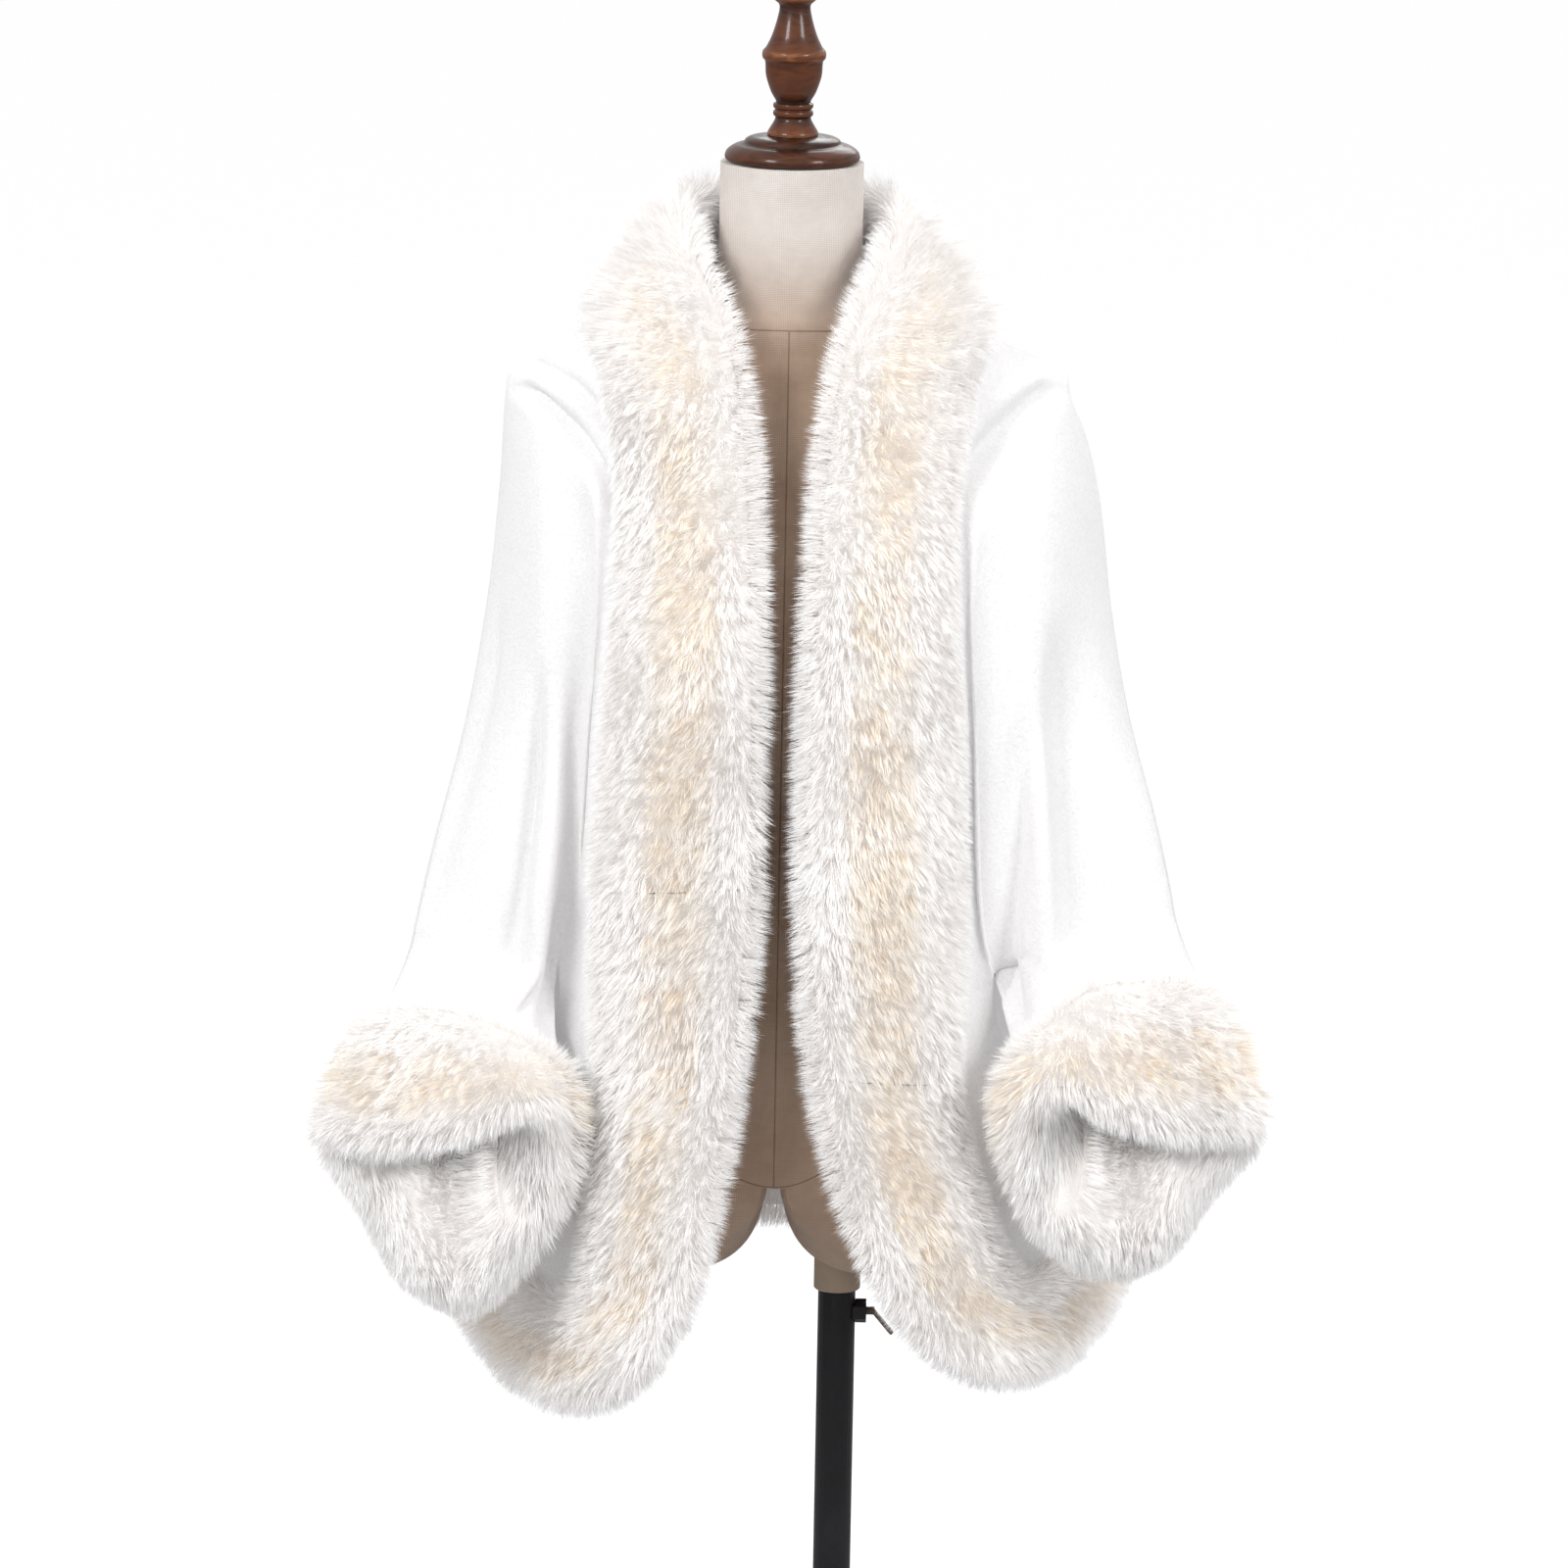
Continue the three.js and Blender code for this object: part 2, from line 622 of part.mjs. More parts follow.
// ---------------------------------------------------------------- the cape
// The rows and columns of the cloth's grid.
const ROWS = steps(0, LAST_ROW, 14);
const BODY_DROPS = steps(0, 1, 8);
const SLEEVE_DROPS = steps(0, 1, 6);
const FRONT_BODY = steps(AT.front, AT.valley, 6);
const FRONT_SLEEVE = steps(AT.valley, AT.arm, 12);
const BACK_SLEEVE = steps(AT.arm, AT.tuck, 12);
const BACK_BODY = [...steps(AT.tuck, AT.side, 6), ...steps(AT.side, AT.spine, 7).slice(1)];

function clothPieces() {
  const surface = new Surface();
  for (const side of [SIDES.right, SIDES.left]) {
    const grid = (panel, rows, columns, point) =>
      surface.patch(panel, side, rows.map((row) => columns.map((place) => point(side, place, row))));
    const above = (_, place, row) => clothPoint(side, row, place);
    const front = `front_${side.name}`;
    grid(front, ROWS, [...FRONT_BODY, ...FRONT_SLEEVE.slice(1)], above);
    grid(front, BODY_DROPS, FRONT_BODY, bodyPoint);
    grid(front, SLEEVE_DROPS, FRONT_SLEEVE, sleevePoint);
    grid('back', ROWS, [...BACK_SLEEVE, ...BACK_BODY.slice(1)], above);
    grid('back', BODY_DROPS, BACK_BODY, bodyPoint);
    grid('back', SLEEVE_DROPS, BACK_SLEEVE, sleevePoint);
  }
  return ['front_right', 'front_left', 'back'].map((panel) => surface.wall(panel, materials.cloth));
}

const JOIN = 0.004; // half the gap where two strips of fur meet, counted in stations

// The cloth's own stations between two joins, so that fur and cloth turn the same corners.
function between(stations, from, to) {
  const inside = stations.filter((station) => station > from + 0.05 && station < to - 0.05);
  return [from + JOIN, ...inside, to - JOIN];
}

function furPieces() {
  const stations = [
    ...BACK_BODY.filter((place) => place > AT.side).map((place) => SHOULDER_STATION - (place - AT.side)),
    ...ROWS.map(stationOf),
    ...BODY_DROPS.slice(1).map((t) => mix(stationOf(LAST_ROW), FRONT_CORNER_STATION, t)),
    ...FRONT_BODY.slice(1).map(hemStation),
    ...BACK_BODY.slice(1).map(hemStation),
  ].sort((a, b) => a - b);
  // A curve across the centre back: a place below zero is on the right half and one above on the left.
  const across = (centre, way) => (place, line) =>
    borderPoint(place < 0 ? SIDES.right : SIDES.left, centre + way * Math.abs(place), line);
  const mirrored = (places) => [...places.map((x) => -x).reverse(), 0, ...places];
  const collar = stations.filter((x) => x > 0 && x < SHOULDER_STATION - 0.05);
  const hem = stations.filter((x) => x > CORNER_JOIN_STATION + 0.05 && x < CENTRE_BACK_STATION)
    .map((x) => CENTRE_BACK_STATION - x).reverse();
  const strips = [
    ['fur_collar', across(0, 1), mirrored([...collar, SHOULDER_STATION - JOIN])],
    ['fur_hem', across(CENTRE_BACK_STATION, -1),
      mirrored([...hem, CENTRE_BACK_STATION - CORNER_JOIN_STATION - JOIN])],
  ];
  for (const side of Object.values(SIDES)) {
    const curve = (place, line) => borderPoint(side, place, line);
    strips.push(
      [`fur_front_upper_${side.name}`, curve, between(stations, SHOULDER_STATION, side.frontSeam)],
      [`fur_front_lower_${side.name}`, curve, between(stations, side.frontSeam, CORNER_JOIN_STATION)],
    );
  }
  const ring = [...FRONT_SLEEVE.slice(1), ...BACK_SLEEVE.slice(1)].map(cuffPlace);
  return [
    ...strips.map(([name, curve, places]) => band(name, curve, places, FUR_THICKNESS)),
    ...Object.values(SIDES).map((side) => band(`fur_cuff_${side.name}`,
      (place, line) => cuffPoint(side, place, line), ring, CUFF_THICKNESS, true)),
  ];
}

// ---------------------------------------------------------------- the form
function torsoRing(row, count) {
  return steps(0, count - 1, count - 1).map((i) => {
    const angle = (2 * Math.PI * i) / count;
    const [u, v] = superellipse(angle, column(TORSO, 'square', row));
    return vector(
      column(TORSO, 'halfWidth', row) * u,
      column(TORSO, v < 0 ? 'front' : 'back', row) * v,
      column(TORSO, 'drop', row),
    );
  });
}

function torso() {
  const rows = steps(0, TORSO.length - 1, 27);
  return loft('form_torso', rows.map((row) => torsoRing(row, 28)), materials.linen);
}

// A short rounded thigh end under the torso: level ovals that shrink along a quarter of a rounded curve.
function thighEnd(name, sign) {
  const last = TORSO.at(-1);
  const halfWidth = last.halfWidth / 2 - 2;
  const height = THIGH_END_DROP - CROTCH_DROP - SEAM_GAP;
  const rings = steps(0, 1, 6).map((t) => {
    const angle = (t * 0.47 * Math.PI);
    const size = Math.cos(angle) ** 0.62;
    return steps(0, 19, 19).map((i) => {
      const turn = (2 * Math.PI * i) / 20;
      const depth = Math.sin(turn) < 0 ? last.front - 4 : last.back - 4;
      return vector(
        sign * (halfWidth + 2.4 + size * halfWidth * 0.97 * Math.cos(turn) + (1 - size) * 4),
        size * depth * 0.94 * Math.sin(turn),
        CROTCH_DROP + SEAM_GAP + height * Math.sin(angle) / Math.sin(0.47 * Math.PI),
      );
    });
  });
  return loft(name, rings, materials.linen);
}

// Solid of a mesh for manifold-3d, in the mesh's own frame.
function solidOf(mesh) {
  const source = mesh.geometry.index ? mesh.geometry.toNonIndexed() : mesh.geometry;
  const position = source.getAttribute('position');
  const found = new Map();
  const vertices = [];
  const triangles = [];
  for (let i = 0; i < position.count; i += 1) {
    const p = [position.getX(i), position.getY(i), position.getZ(i)];
    const key = p.map((x) => Math.round(x * 1e4)).join(',');
    if (!found.has(key)) {
      found.set(key, found.size);
      vertices.push(...p);
    }
    triangles.push(found.get(key));
  }
  const kept = [];
  for (let i = 0; i < triangles.length; i += 3) {
    const [a, b, c] = triangles.slice(i, i + 3);
    if (a !== b && b !== c && a !== c) kept.push(a, b, c);
  }
  return new wasm.Manifold(new wasm.Mesh({
    numProp: 3, vertProperties: new Float32Array(vertices), triVerts: new Uint32Array(kept),
  }));
}

// A mesh of a manifold-3d solid.
function meshOf(name, solid, material) {
  const { vertProperties, triVerts } = solid.getMesh();
  const geometry = new THREE.BufferGeometry();
  geometry.setAttribute('position', new THREE.BufferAttribute(vertProperties, 3));
  geometry.setIndex(new THREE.BufferAttribute(triVerts, 1));
  geometry.computeVertexNormals();
  const mesh = new THREE.Mesh(geometry, material);
  mesh.name = name;
  return mesh;
}

// A cylinder along X, from one x to another at the clamp's height.
function barrel(name, radius, from, to, material, segments = 16) {
  const geometry = new THREE.CylinderGeometry(radius, radius, to - from, segments);
  geometry.rotateZ(Math.PI / 2);
  geometry.translate((from + to) / 2, 0, -CLAMP_DROP);
  const mesh = new THREE.Mesh(geometry, material);
  mesh.name = name;
  return mesh;
}

const SCREW_RADIUS = 3;
const BOSS_LENGTH = 8;
const LEVER_TILT = 0.7; // radians

// The stand's tube with the hole that the clamp screw goes through.
function standTube() {
  const bottom = -(NECK_RIM_HEIGHT - BASE_THICKNESS - SEAM_GAP);
  const profile = tubeProfile(TUBE_RADIUS - TUBE_WALL, TUBE_RADIUS, -(SOCKET_END_DROP + SEAM_GAP), bottom);
  const tube = turned('stand_tube', profile, materials.enamel, POLE_OFFSET);
  const hole = barrel('hole', SCREW_RADIUS + SEAM_GAP, POLE_OFFSET, POLE_OFFSET + 40, materials.steel);
  return meshOf('stand_tube', solidOf(tube).subtract(solidOf(hole)), materials.enamel);
}

// The boss welded to the tube: a six-sided block with the screw's hole.
function clampBoss() {
  const start = POLE_OFFSET + TUBE_RADIUS - 2;
  const block = barrel('block', 9, start, POLE_OFFSET + TUBE_RADIUS + BOSS_LENGTH, materials.enamel, 6);
  const pole = turned('pole', tubeProfile(0, TUBE_RADIUS + SEAM_GAP, -CLAMP_DROP + 30, -CLAMP_DROP - 30),
    materials.enamel, POLE_OFFSET);
  const hole = barrel('hole', SCREW_RADIUS + SEAM_GAP, start - 5, start + 40, materials.steel);
  const solid = solidOf(block).subtract(solidOf(pole)).subtract(solidOf(hole));
  return meshOf('clamp_boss', solid, materials.enamel);
}

// The clamp screw: a shank through the boss, with a flat lever to turn it by.
function clampScrew() {
  const tip = POLE_OFFSET + ROD_RADIUS + SEAM_GAP;
  const head = POLE_OFFSET + TUBE_RADIUS + BOSS_LENGTH + 1;
  const shank = barrel('shank', SCREW_RADIUS, tip, head + 5, materials.steel, 12);
  const outline = new THREE.Shape();
  outline.moveTo(-3.5, 0);
  outline.lineTo(3.5, 0);
  outline.absarc(0, 20, 4.5, -0.4, Math.PI + 0.4, false);
  const lever = new THREE.ExtrudeGeometry(outline, { depth: 2.5, bevelEnabled: false, curveSegments: 8 });
  lever.rotateZ(Math.PI);
  lever.rotateY(Math.PI / 2);
  lever.rotateX(Math.PI / 2);
  lever.rotateY(-LEVER_TILT);
  lever.translate(head + 1.5, 0, -CLAMP_DROP + 1);
  return meshOf('clamp_screw', solidOf(shank).add(solidOf(new THREE.Mesh(lever))), materials.steel);
}

function standPieces() {
  const floor = -NECK_RIM_HEIGHT;
  const top = -(THIGH_END_DROP + SEAM_GAP);
  return [
    turned('pole_socket', tubeProfile(ROD_RADIUS + SEAM_GAP, SOCKET_RADIUS, top, -SOCKET_END_DROP),
      materials.linen, POLE_OFFSET),
    turned('pole_rod', tubeProfile(0, ROD_RADIUS, top, top - ROD_LENGTH), materials.steel, POLE_OFFSET),
    standTube(),
    clampBoss(),
    clampScrew(),
    turned('base_plate', [
      [0, floor], [BASE_RADIUS, floor], [BASE_RADIUS, floor + 6], [BASE_RADIUS - 4, floor + BASE_THICKNESS],
      [0, floor + BASE_THICKNESS],
    ], materials.enamel, POLE_OFFSET, 48),
    turned('base_collar', tubeProfile(TUBE_RADIUS + SEAM_GAP, 24, floor + 34,
      floor + BASE_THICKNESS + SEAM_GAP), materials.enamel, POLE_OFFSET),
  ];
}

// ---------------------------------------------------------------- assembly
const root = new THREE.Group();
root.position.set(-POLE_OFFSET, 0, NECK_RIM_HEIGHT);
root.add(
  torso(),
  thighEnd('form_thigh_right', -1),
  thighEnd('form_thigh_left', 1),
  turned('neck_cap', CAP, materials.wood),
  turned('finial', FINIAL, materials.wood, 0, 20),
  ...standPieces(),
  ...clothPieces(),
  ...furPieces(),
);

export default root;
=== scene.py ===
# %% [markdown]
# # An open-front knitted cape with a fur border, on a limbless dress form
#
# The real object is a soft, fleecy, white cape with batwing sleeves. A deep strip of long pile fur runs round
# its neck, fronts and hem, and turns back the ends of its sleeves. It hangs on a linen-covered form with a
# turned wooden neck cap, on a pole with a clamp screw.
#
# Everything here is a surface worked out from a few tables of sizes. The tables and formulas are those of the
# CAD model, with finer steps and more folds. Sizes are in millimetres round the form's own upright axis,
# and a "drop" is a distance below the rim of the neck. One function turns them into Blender's metres.

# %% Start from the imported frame
import math

import bmesh
import bpy
import numpy as np
from mathutils import Matrix, Vector


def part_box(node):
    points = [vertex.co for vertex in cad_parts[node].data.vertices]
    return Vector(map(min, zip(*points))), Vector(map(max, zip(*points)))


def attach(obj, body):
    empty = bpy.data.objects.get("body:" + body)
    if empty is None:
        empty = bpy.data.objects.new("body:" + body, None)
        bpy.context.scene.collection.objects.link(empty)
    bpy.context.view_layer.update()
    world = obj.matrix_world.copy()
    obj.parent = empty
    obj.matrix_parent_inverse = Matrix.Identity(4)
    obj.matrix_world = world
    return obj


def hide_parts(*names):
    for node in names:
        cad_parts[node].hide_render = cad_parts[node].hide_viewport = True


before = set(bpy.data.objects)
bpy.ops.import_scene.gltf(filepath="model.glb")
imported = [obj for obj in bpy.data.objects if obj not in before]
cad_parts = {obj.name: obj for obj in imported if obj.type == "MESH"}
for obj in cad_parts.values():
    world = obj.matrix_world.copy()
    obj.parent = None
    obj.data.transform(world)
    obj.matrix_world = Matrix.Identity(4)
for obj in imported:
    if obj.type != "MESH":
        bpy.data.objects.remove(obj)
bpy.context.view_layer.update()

torso_low, torso_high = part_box("form_torso")
FORM_AXIS_X = (torso_low.x + torso_high.x) / 2
NECK_RIM_Z = torso_high.z
print("form axis at", round(FORM_AXIS_X, 4), "and neck rim at", round(NECK_RIM_Z, 4))

# %% [markdown]
# ## Camera, floor and light
#
# The camera comes first, so that every later step can be looked at. It stands seven metres off and looks a
# little down through a long lens, which keeps the shape free of perspective. White cloth on a pale ground
# needs broad, soft light that still falls more from one side, or its folds vanish.

# %% Camera
CAMERA_DISTANCE = 7.0
CAMERA_TILT = math.radians(11.3)
CAMERA_ROLL = math.radians(1.05)
AIM = Vector((FORM_AXIS_X + 0.0022, 0, NECK_RIM_Z - 0.4475))

scene = bpy.context.scene
camera = bpy.data.objects.new("camera", bpy.data.cameras.new("camera"))
scene.collection.objects.link(camera)
camera.data.sensor_width = 36
camera.data.lens = 225
camera.data.clip_end = 100
camera.matrix_world = (
    Matrix.Translation(AIM)
    @ Matrix.Rotation(math.pi / 2 - CAMERA_TILT, 4, "X")
    @ Matrix.Rotation(CAMERA_ROLL, 4, "Z")
    @ Matrix.Translation((0, 0, CAMERA_DISTANCE))
)
scene.camera = camera
scene.view_settings.view_transform = "Standard"
scene.cycles.diffuse_bounces = 8


# %% Helpers for node trees
def feed(tree, node, inputs):
    """Gives a node its inputs, which are values or sockets, by the input's name or number."""
    for name, value in inputs.items():
        if isinstance(value, bpy.types.NodeSocket):
            tree.links.new(value, node.inputs[name])
        else:
            node.inputs[name].default_value = value


def add(tree, kind, inputs=None, **settings):
    """A node of the given kind, with its settings and then its inputs."""
    node = tree.nodes.new("ShaderNode" + kind)
    for name, value in settings.items():
        setattr(node, name, value)
    feed(tree, node, inputs or {})
    return node


def maths(tree, operation, a, b=0.0):
    """The result of a Math node on two values or sockets."""
    return add(tree, "Math", {0: a, 1: b}, operation=operation).outputs[0]


def mixed(tree, factor, a, b, kind="MIX"):
    """The result of a colour Mix node, with colours given as sockets or as (r, g, b)."""
    a, b = (c if isinstance(c, bpy.types.NodeSocket) else (*c, 1.0) for c in (a, b))
    return add(tree, "Mix", {0: factor, 6: a, 7: b}, data_type="RGBA", blend_type=kind).outputs[2]


def between(tree, value, low, high, to_low=0.0, to_high=1.0):
    """The value's place between low and high, eased, and turned into a new range."""
    inputs = {"Value": value, "From Min": low, "From Max": high, "To Min": to_low, "To Max": to_high}
    return add(tree, "MapRange", inputs, interpolation_type="SMOOTHSTEP").outputs[0]


def new_group(name, inputs, outputs):
    """An empty node group with named inputs and outputs, and the sockets that they have inside it."""
    tree = bpy.data.node_groups.new(name, "ShaderNodeTree")
    for sockets, way in ((inputs, "INPUT"), (outputs, "OUTPUT")):
        for label, (kind, default) in sockets.items():
            made = tree.interface.new_socket(label, in_out=way, socket_type="NodeSocket" + kind)
            if default is not None:
                made.default_value = default
    return tree, tree.nodes.new("NodeGroupInput").outputs, tree.nodes.new("NodeGroupOutput").inputs


def new_material(name, **constants):
    """A material, its tree and its Principled shader, with constants set on the shader's own sockets."""
    material = bpy.data.materials.new(name)
    material.use_nodes = True
    shader = material.node_tree.nodes["Principled BSDF"]
    for label, value in constants.items():
        shader.inputs[label.replace("_", " ")].default_value = value
    return material, material.node_tree, shader.inputs


# %% Floor and lights
FLOOR_SIZE = 60.0
FLOOR_GLOW = 0.62  # the light that the floor itself gives
ROOM_LIGHT = 0.82  # strength of the light from all round


def make_floor():
    """A level square of pale, matt card."""
    half = FLOOR_SIZE / 2
    mesh = bpy.data.meshes.new("floor")
    corners = [(-half, -half, 0), (half, -half, 0), (half, half, 0), (-half, half, 0)]
    mesh.from_pydata(corners, [], [(0, 1, 2, 3)])
    floor = bpy.data.objects.new("floor", mesh)
    scene.collection.objects.link(floor)
    material, tree, shader = new_material("pale_card", Base_Color=(0.42, 0.42, 0.43, 1), Roughness=1.0,
                                          Emission_Color=(1, 1, 1, 1))
    seen = add(tree, "LightPath").outputs["Is Camera Ray"]
    tree.links.new(maths(tree, "MULTIPLY", seen, FLOOR_GLOW), shader["Emission Strength"])
    mesh.materials.append(material)


def make_softbox(name, place, size, power):
    """A square area light at a place, turned towards the middle of the form."""
    light = bpy.data.lights.new(name, "AREA")
    light.size = size
    light.energy = power
    box = bpy.data.objects.new(name, light)
    scene.collection.objects.link(box)
    place = Vector(place)
    turned = (place - AIM).to_track_quat("Z", "Y").to_matrix().to_4x4()
    box.matrix_world = Matrix.Translation(place) @ turned


make_floor()
make_softbox("left_front", (-2.3, -2.7, 3.3), 1.1, 86)
make_softbox("right_front", (2.6, -2.5, 3.1), 1.1, 70)
make_softbox("behind", (0.6, 3.2, 3.2), 2.0, 40)
world = bpy.data.worlds.new("studio")
scene.world = world
world.use_nodes = True
backdrop = world.node_tree.nodes["Background"].inputs
backdrop["Color"].default_value = (1.0, 0.995, 0.995, 1)
seen = add(world.node_tree, "LightPath").outputs["Is Camera Ray"]
world.node_tree.links.new(between(world.node_tree, seen, 0, 1, ROOM_LIGHT, 1.0), backdrop["Strength"])

# %% [markdown]
# ## The sizes
#
# A few short tables hold the whole garment. The fur border is one closed band, given by its free edge and by
# the edge that is sewn to the cloth. The cuffs are rings of the same kind. The cloth is given by its level
# sections above the underarm, and below it hangs to the border and to the cuffs.


# %% Tables
def table(columns, rows):
    """Rows of numbers as a dictionary of columns."""
    return dict(zip(columns.split(), np.array(rows, float).T, strict=True))


TORSO = table("drop half_width front back square", [
    [0, 50.6, 50.6, 50.6, 2],
    [60, 51, 51, 51, 2],
    [85, 53, 52, 53, 2],
    [100, 60, 54, 56, 2],
    [107.6, 80, 56, 59, 2],
    [118.5, 110, 57, 62, 2.1],
    [129.5, 138, 58, 65, 2.2],
    [139.5, 160, 61, 69, 2.2],
    [152, 171, 64, 72, 2.3],
    [166, 181, 70, 77, 2.3],
    [200, 183, 80, 86, 2.3],
    [250, 173, 94, 91, 2.4],
    [320, 161, 104, 92, 2.5],
    [400, 140, 97, 86, 2.4],
    [470, 120, 85, 78, 2.3],
    [540, 138, 90, 90, 2.3],
    [620, 155, 94, 102, 2.3],
    [690, 158, 93, 103, 2.3],
    [745, 154, 88, 97, 2.3],
])
BAND_COLUMNS = "edge_x edge_y edge_drop seam_x seam_y seam_drop"
# Stations of the border's right half, from the centre back of the neck down the front and along the hem.
BORDER = table(BAND_COLUMNS, [
    [0, 72, 9, 0, 90, 106],  # 0 centre back of the neck
    [48, 57, 12, 80, 67, 112],
    [64, 8, 20, 133, 5, 118],  # 2 shoulder line
    [57, -48, 42, 129, -55, 136],
    [32, -88, 92, 120, -88, 180],  # 4 collar bone
    [15, -110, 165, 115, -104, 228],
    [6, -138, 275, 116, -116, 306],  # 6 bust
    [3, -143, 388, 123, -115, 400],
    [4, -143, 510, 126, -108, 522],  # 8 waist
    [14, -143, 625, 124, -104, 638],
    [29, -142, 725, 125, -101, 718],  # 10 hip
    [48, -138, 804, 130, -96, 766],
    [83, -128, 866, 138, -86, 797],  # 12 front corner
    [133, -100, 895, 153, -66, 812],
    [182, -40, 891, 184, -28, 794],
    [221, 26, 854, 207, 24, 754],  # 15 side
    [229, 70, 830, 209, 66, 727],
    [206, 114, 818, 190, 106, 716],
    [148, 142, 814, 136, 130, 711],
    [76, 158, 814, 70, 143, 708],
    [0, 163, 815, 0, 148, 707],  # 20 centre back of the hem
])
SHOULDER_STATION, FRONT_CORNER, CORNER_JOIN, SIDE_STATION, HEM_CENTRE = 2, 12, 13.5, 15, 20
# Rings from the outer tip over the front to the inner bend and round the back.
CUFFS = {
    "right": table(BAND_COLUMNS, [
        [322, -112, 702, 278, -92, 601],
        [276, -140, 702, 248, -120, 590],
        [216, -154, 688, 214, -134, 592],
        [172, -158, 668, 180, -136, 606],
        [153, -146, 690, 157, -118, 630],
        [160, -134, 762, 158, -92, 650],
        [206, -126, 817, 208, -70, 690],
        [262, -118, 801, 250, -62, 668],
        [296, -104, 750, 272, -70, 630],
    ]),
    "left": table(BAND_COLUMNS, [
        [342, -112, 688, 299, -92, 572],
        [294, -142, 682, 264, -122, 560],
        [240, -160, 666, 218, -140, 564],
        [204, -164, 646, 184, -138, 598],
        [184, -148, 682, 170, -122, 616],
        [182, -136, 746, 180, -90, 634],
        [220, -128, 782, 224, -70, 664],
        [276, -120, 774, 268, -62, 648],
        [314, -104, 730, 294, -70, 602],
    ]),
}
CUFF_ROWS, CUFF_INNER = 9, 4
# Level sections of the cloth's right half, from the border seam over the sleeve to the centre back.
SECTIONS = table(
    "station valley_x valley_y ridge_x ridge_y arm_x arm_y arm_drop rear_x rear_y "
    "tuck_x tuck_y side_x side_y blade_x blade_y spine_y spine_drop", [
        [2, 151, 5, 174, 4, 197, 4, 149, 174, 4, 151, 5, 133, 5, 80, 67, 90, 106],
        [3, 150, -52, 180, -36, 199, -4, 168, 188, 30, 172, 52, 142, 70, 82, 92, 100, 150],
        [4, 142, -78, 178, -52, 200, -8, 190, 190, 34, 172, 60, 142, 80, 84, 98, 106, 186],
        [5, 132, -92, 174, -72, 202, -12, 235, 191, 34, 172, 62, 144, 86, 86, 104, 111, 236],
        [6, 128, -100, 172, -90, 209, -24, 312, 195, 28, 174, 52, 150, 86, 92, 108, 114, 312],
        [7, 134, -98, 172, -104, 223, -44, 398, 202, 10, 174, 30, 158, 74, 98, 111, 116, 398],
        [8, 144, -93, 176, -118, 243, -66, 480, 214, -16, 166, -38, 167, 52, 104, 114, 120, 490],
        [8.4, 154, -89, 178, -120, 256, -80, 540, 222, -38, 154, -85, 171, 26, 108, 116, 124, 560],
    ])
FRONT, VALLEY, RIDGE, ARM, REAR, TUCK, SIDE, BLADE, SPINE = range(9)
LAST_ROW = len(SECTIONS["station"]) - 1
# Soft folds: ridges, or troughs where the height is negative, between two rows of SECTIONS.
FOLD_COLUMNS = "from from_place to to_place width height"
FOLDS = {
    "right": table(FOLD_COLUMNS, [
        [0.1, 2.55, 2.3, -0.3, 0.26, -10],  # two short folds slanting from the shoulder to the fur
        [0.7, 2.65, 3.5, -0.3, 0.28, -14],
        [1.8, 0.8, 6.4, 0.9, 0.5, 11],
        [4.0, 1.37, 9.9, 1.0, 0.24, -8],  # long folds down to the cuff, side by side
        [4.3, 1.66, 9.9, 1.9, 0.14, 5],
        [4.2, 1.97, 9.9, 2.5, 0.15, -14],
        [3.8, 2.6, 7.5, 3.0, 0.12, -5],
        [5.4, 1.5, 9.9, 1.75, 0.09, -7],
        [6.0, 2.0, 9.9, 2.0, 0.08, -5],
    ]),
    "left": table(FOLD_COLUMNS, [
        [0.4, 2.65, 3.5, -0.2, 0.4, -15],  # one broad fold slanting from the shoulder to the fur
        [2.2, 0.9, 7.6, 1.0, 0.55, 14],
        [3.8, 2.22, 9.9, 2.55, 0.24, -15],  # two long hollows down to the cuff, with a ridge between
        [4.6, 1.96, 9.9, 2.05, 0.12, 5],
        [4.6, 1.8, 8.6, 1.0, 0.19, -13],
        [5.0, 2.18, 9.9, 2.3, 0.08, -3],
        [6.0, 2.5, 9.9, 2.6, 0.08, -3],
    ]),
    "back": table(FOLD_COLUMNS, [
        [0.8, 3.4, 3.6, 5.2, 0.2, -5],
        [3.4, 4.4, 9.9, 4.3, 0.22, -5],
        [3.0, 5.9, 12, 6.0, 0.2, -6],
        [3.6, 6.5, 12, 6.55, 0.2, 6],
        [4.0, 7.05, 12, 7.1, 0.2, -6],
        [4.6, 7.5, 12, 7.5, 0.18, 5],
    ]),
}
# The left side is arranged a little higher and wider than the right.
SIDES = {
    "right": {"sign": -1, "hem_shift": 0, "hem_lift": 0, "spread": 0, "sleeve_lift": 0, "front_join": 7.86},
    "left": {"sign": 1, "hem_shift": 30, "hem_lift": 24, "spread": 21, "sleeve_lift": 30, "front_join": 9.05},
}
# The left's lower front moves over these drops, depths and widths. Depths count forwards here. All of it
# takes the first share of the shift, and its outer part takes the second share as well.
MOVED_DROPS, MOVED_DEPTHS, MOVED_WIDTHS = (600, 850), (-140, 20), (10, 120)
MOVED_SHARE, MOVED_OUTER_SHARE = 0.35, 0.65


# %% Curves through the tables
def ease(x, low, high):
    """0 below low and 1 above high, with a smooth step between."""
    t = np.clip((x - low) / (high - low), 0, 1)
    return t * t * (3 - 2 * t)


def mix(a, b, t):
    """The point a share t of the way from a to b."""
    return a + (b - a) * t


def unit(v):
    """Vectors of length 1 in the directions of v."""
    return v / np.maximum(np.linalg.norm(v, axis=-1, keepdims=True), 1e-9)


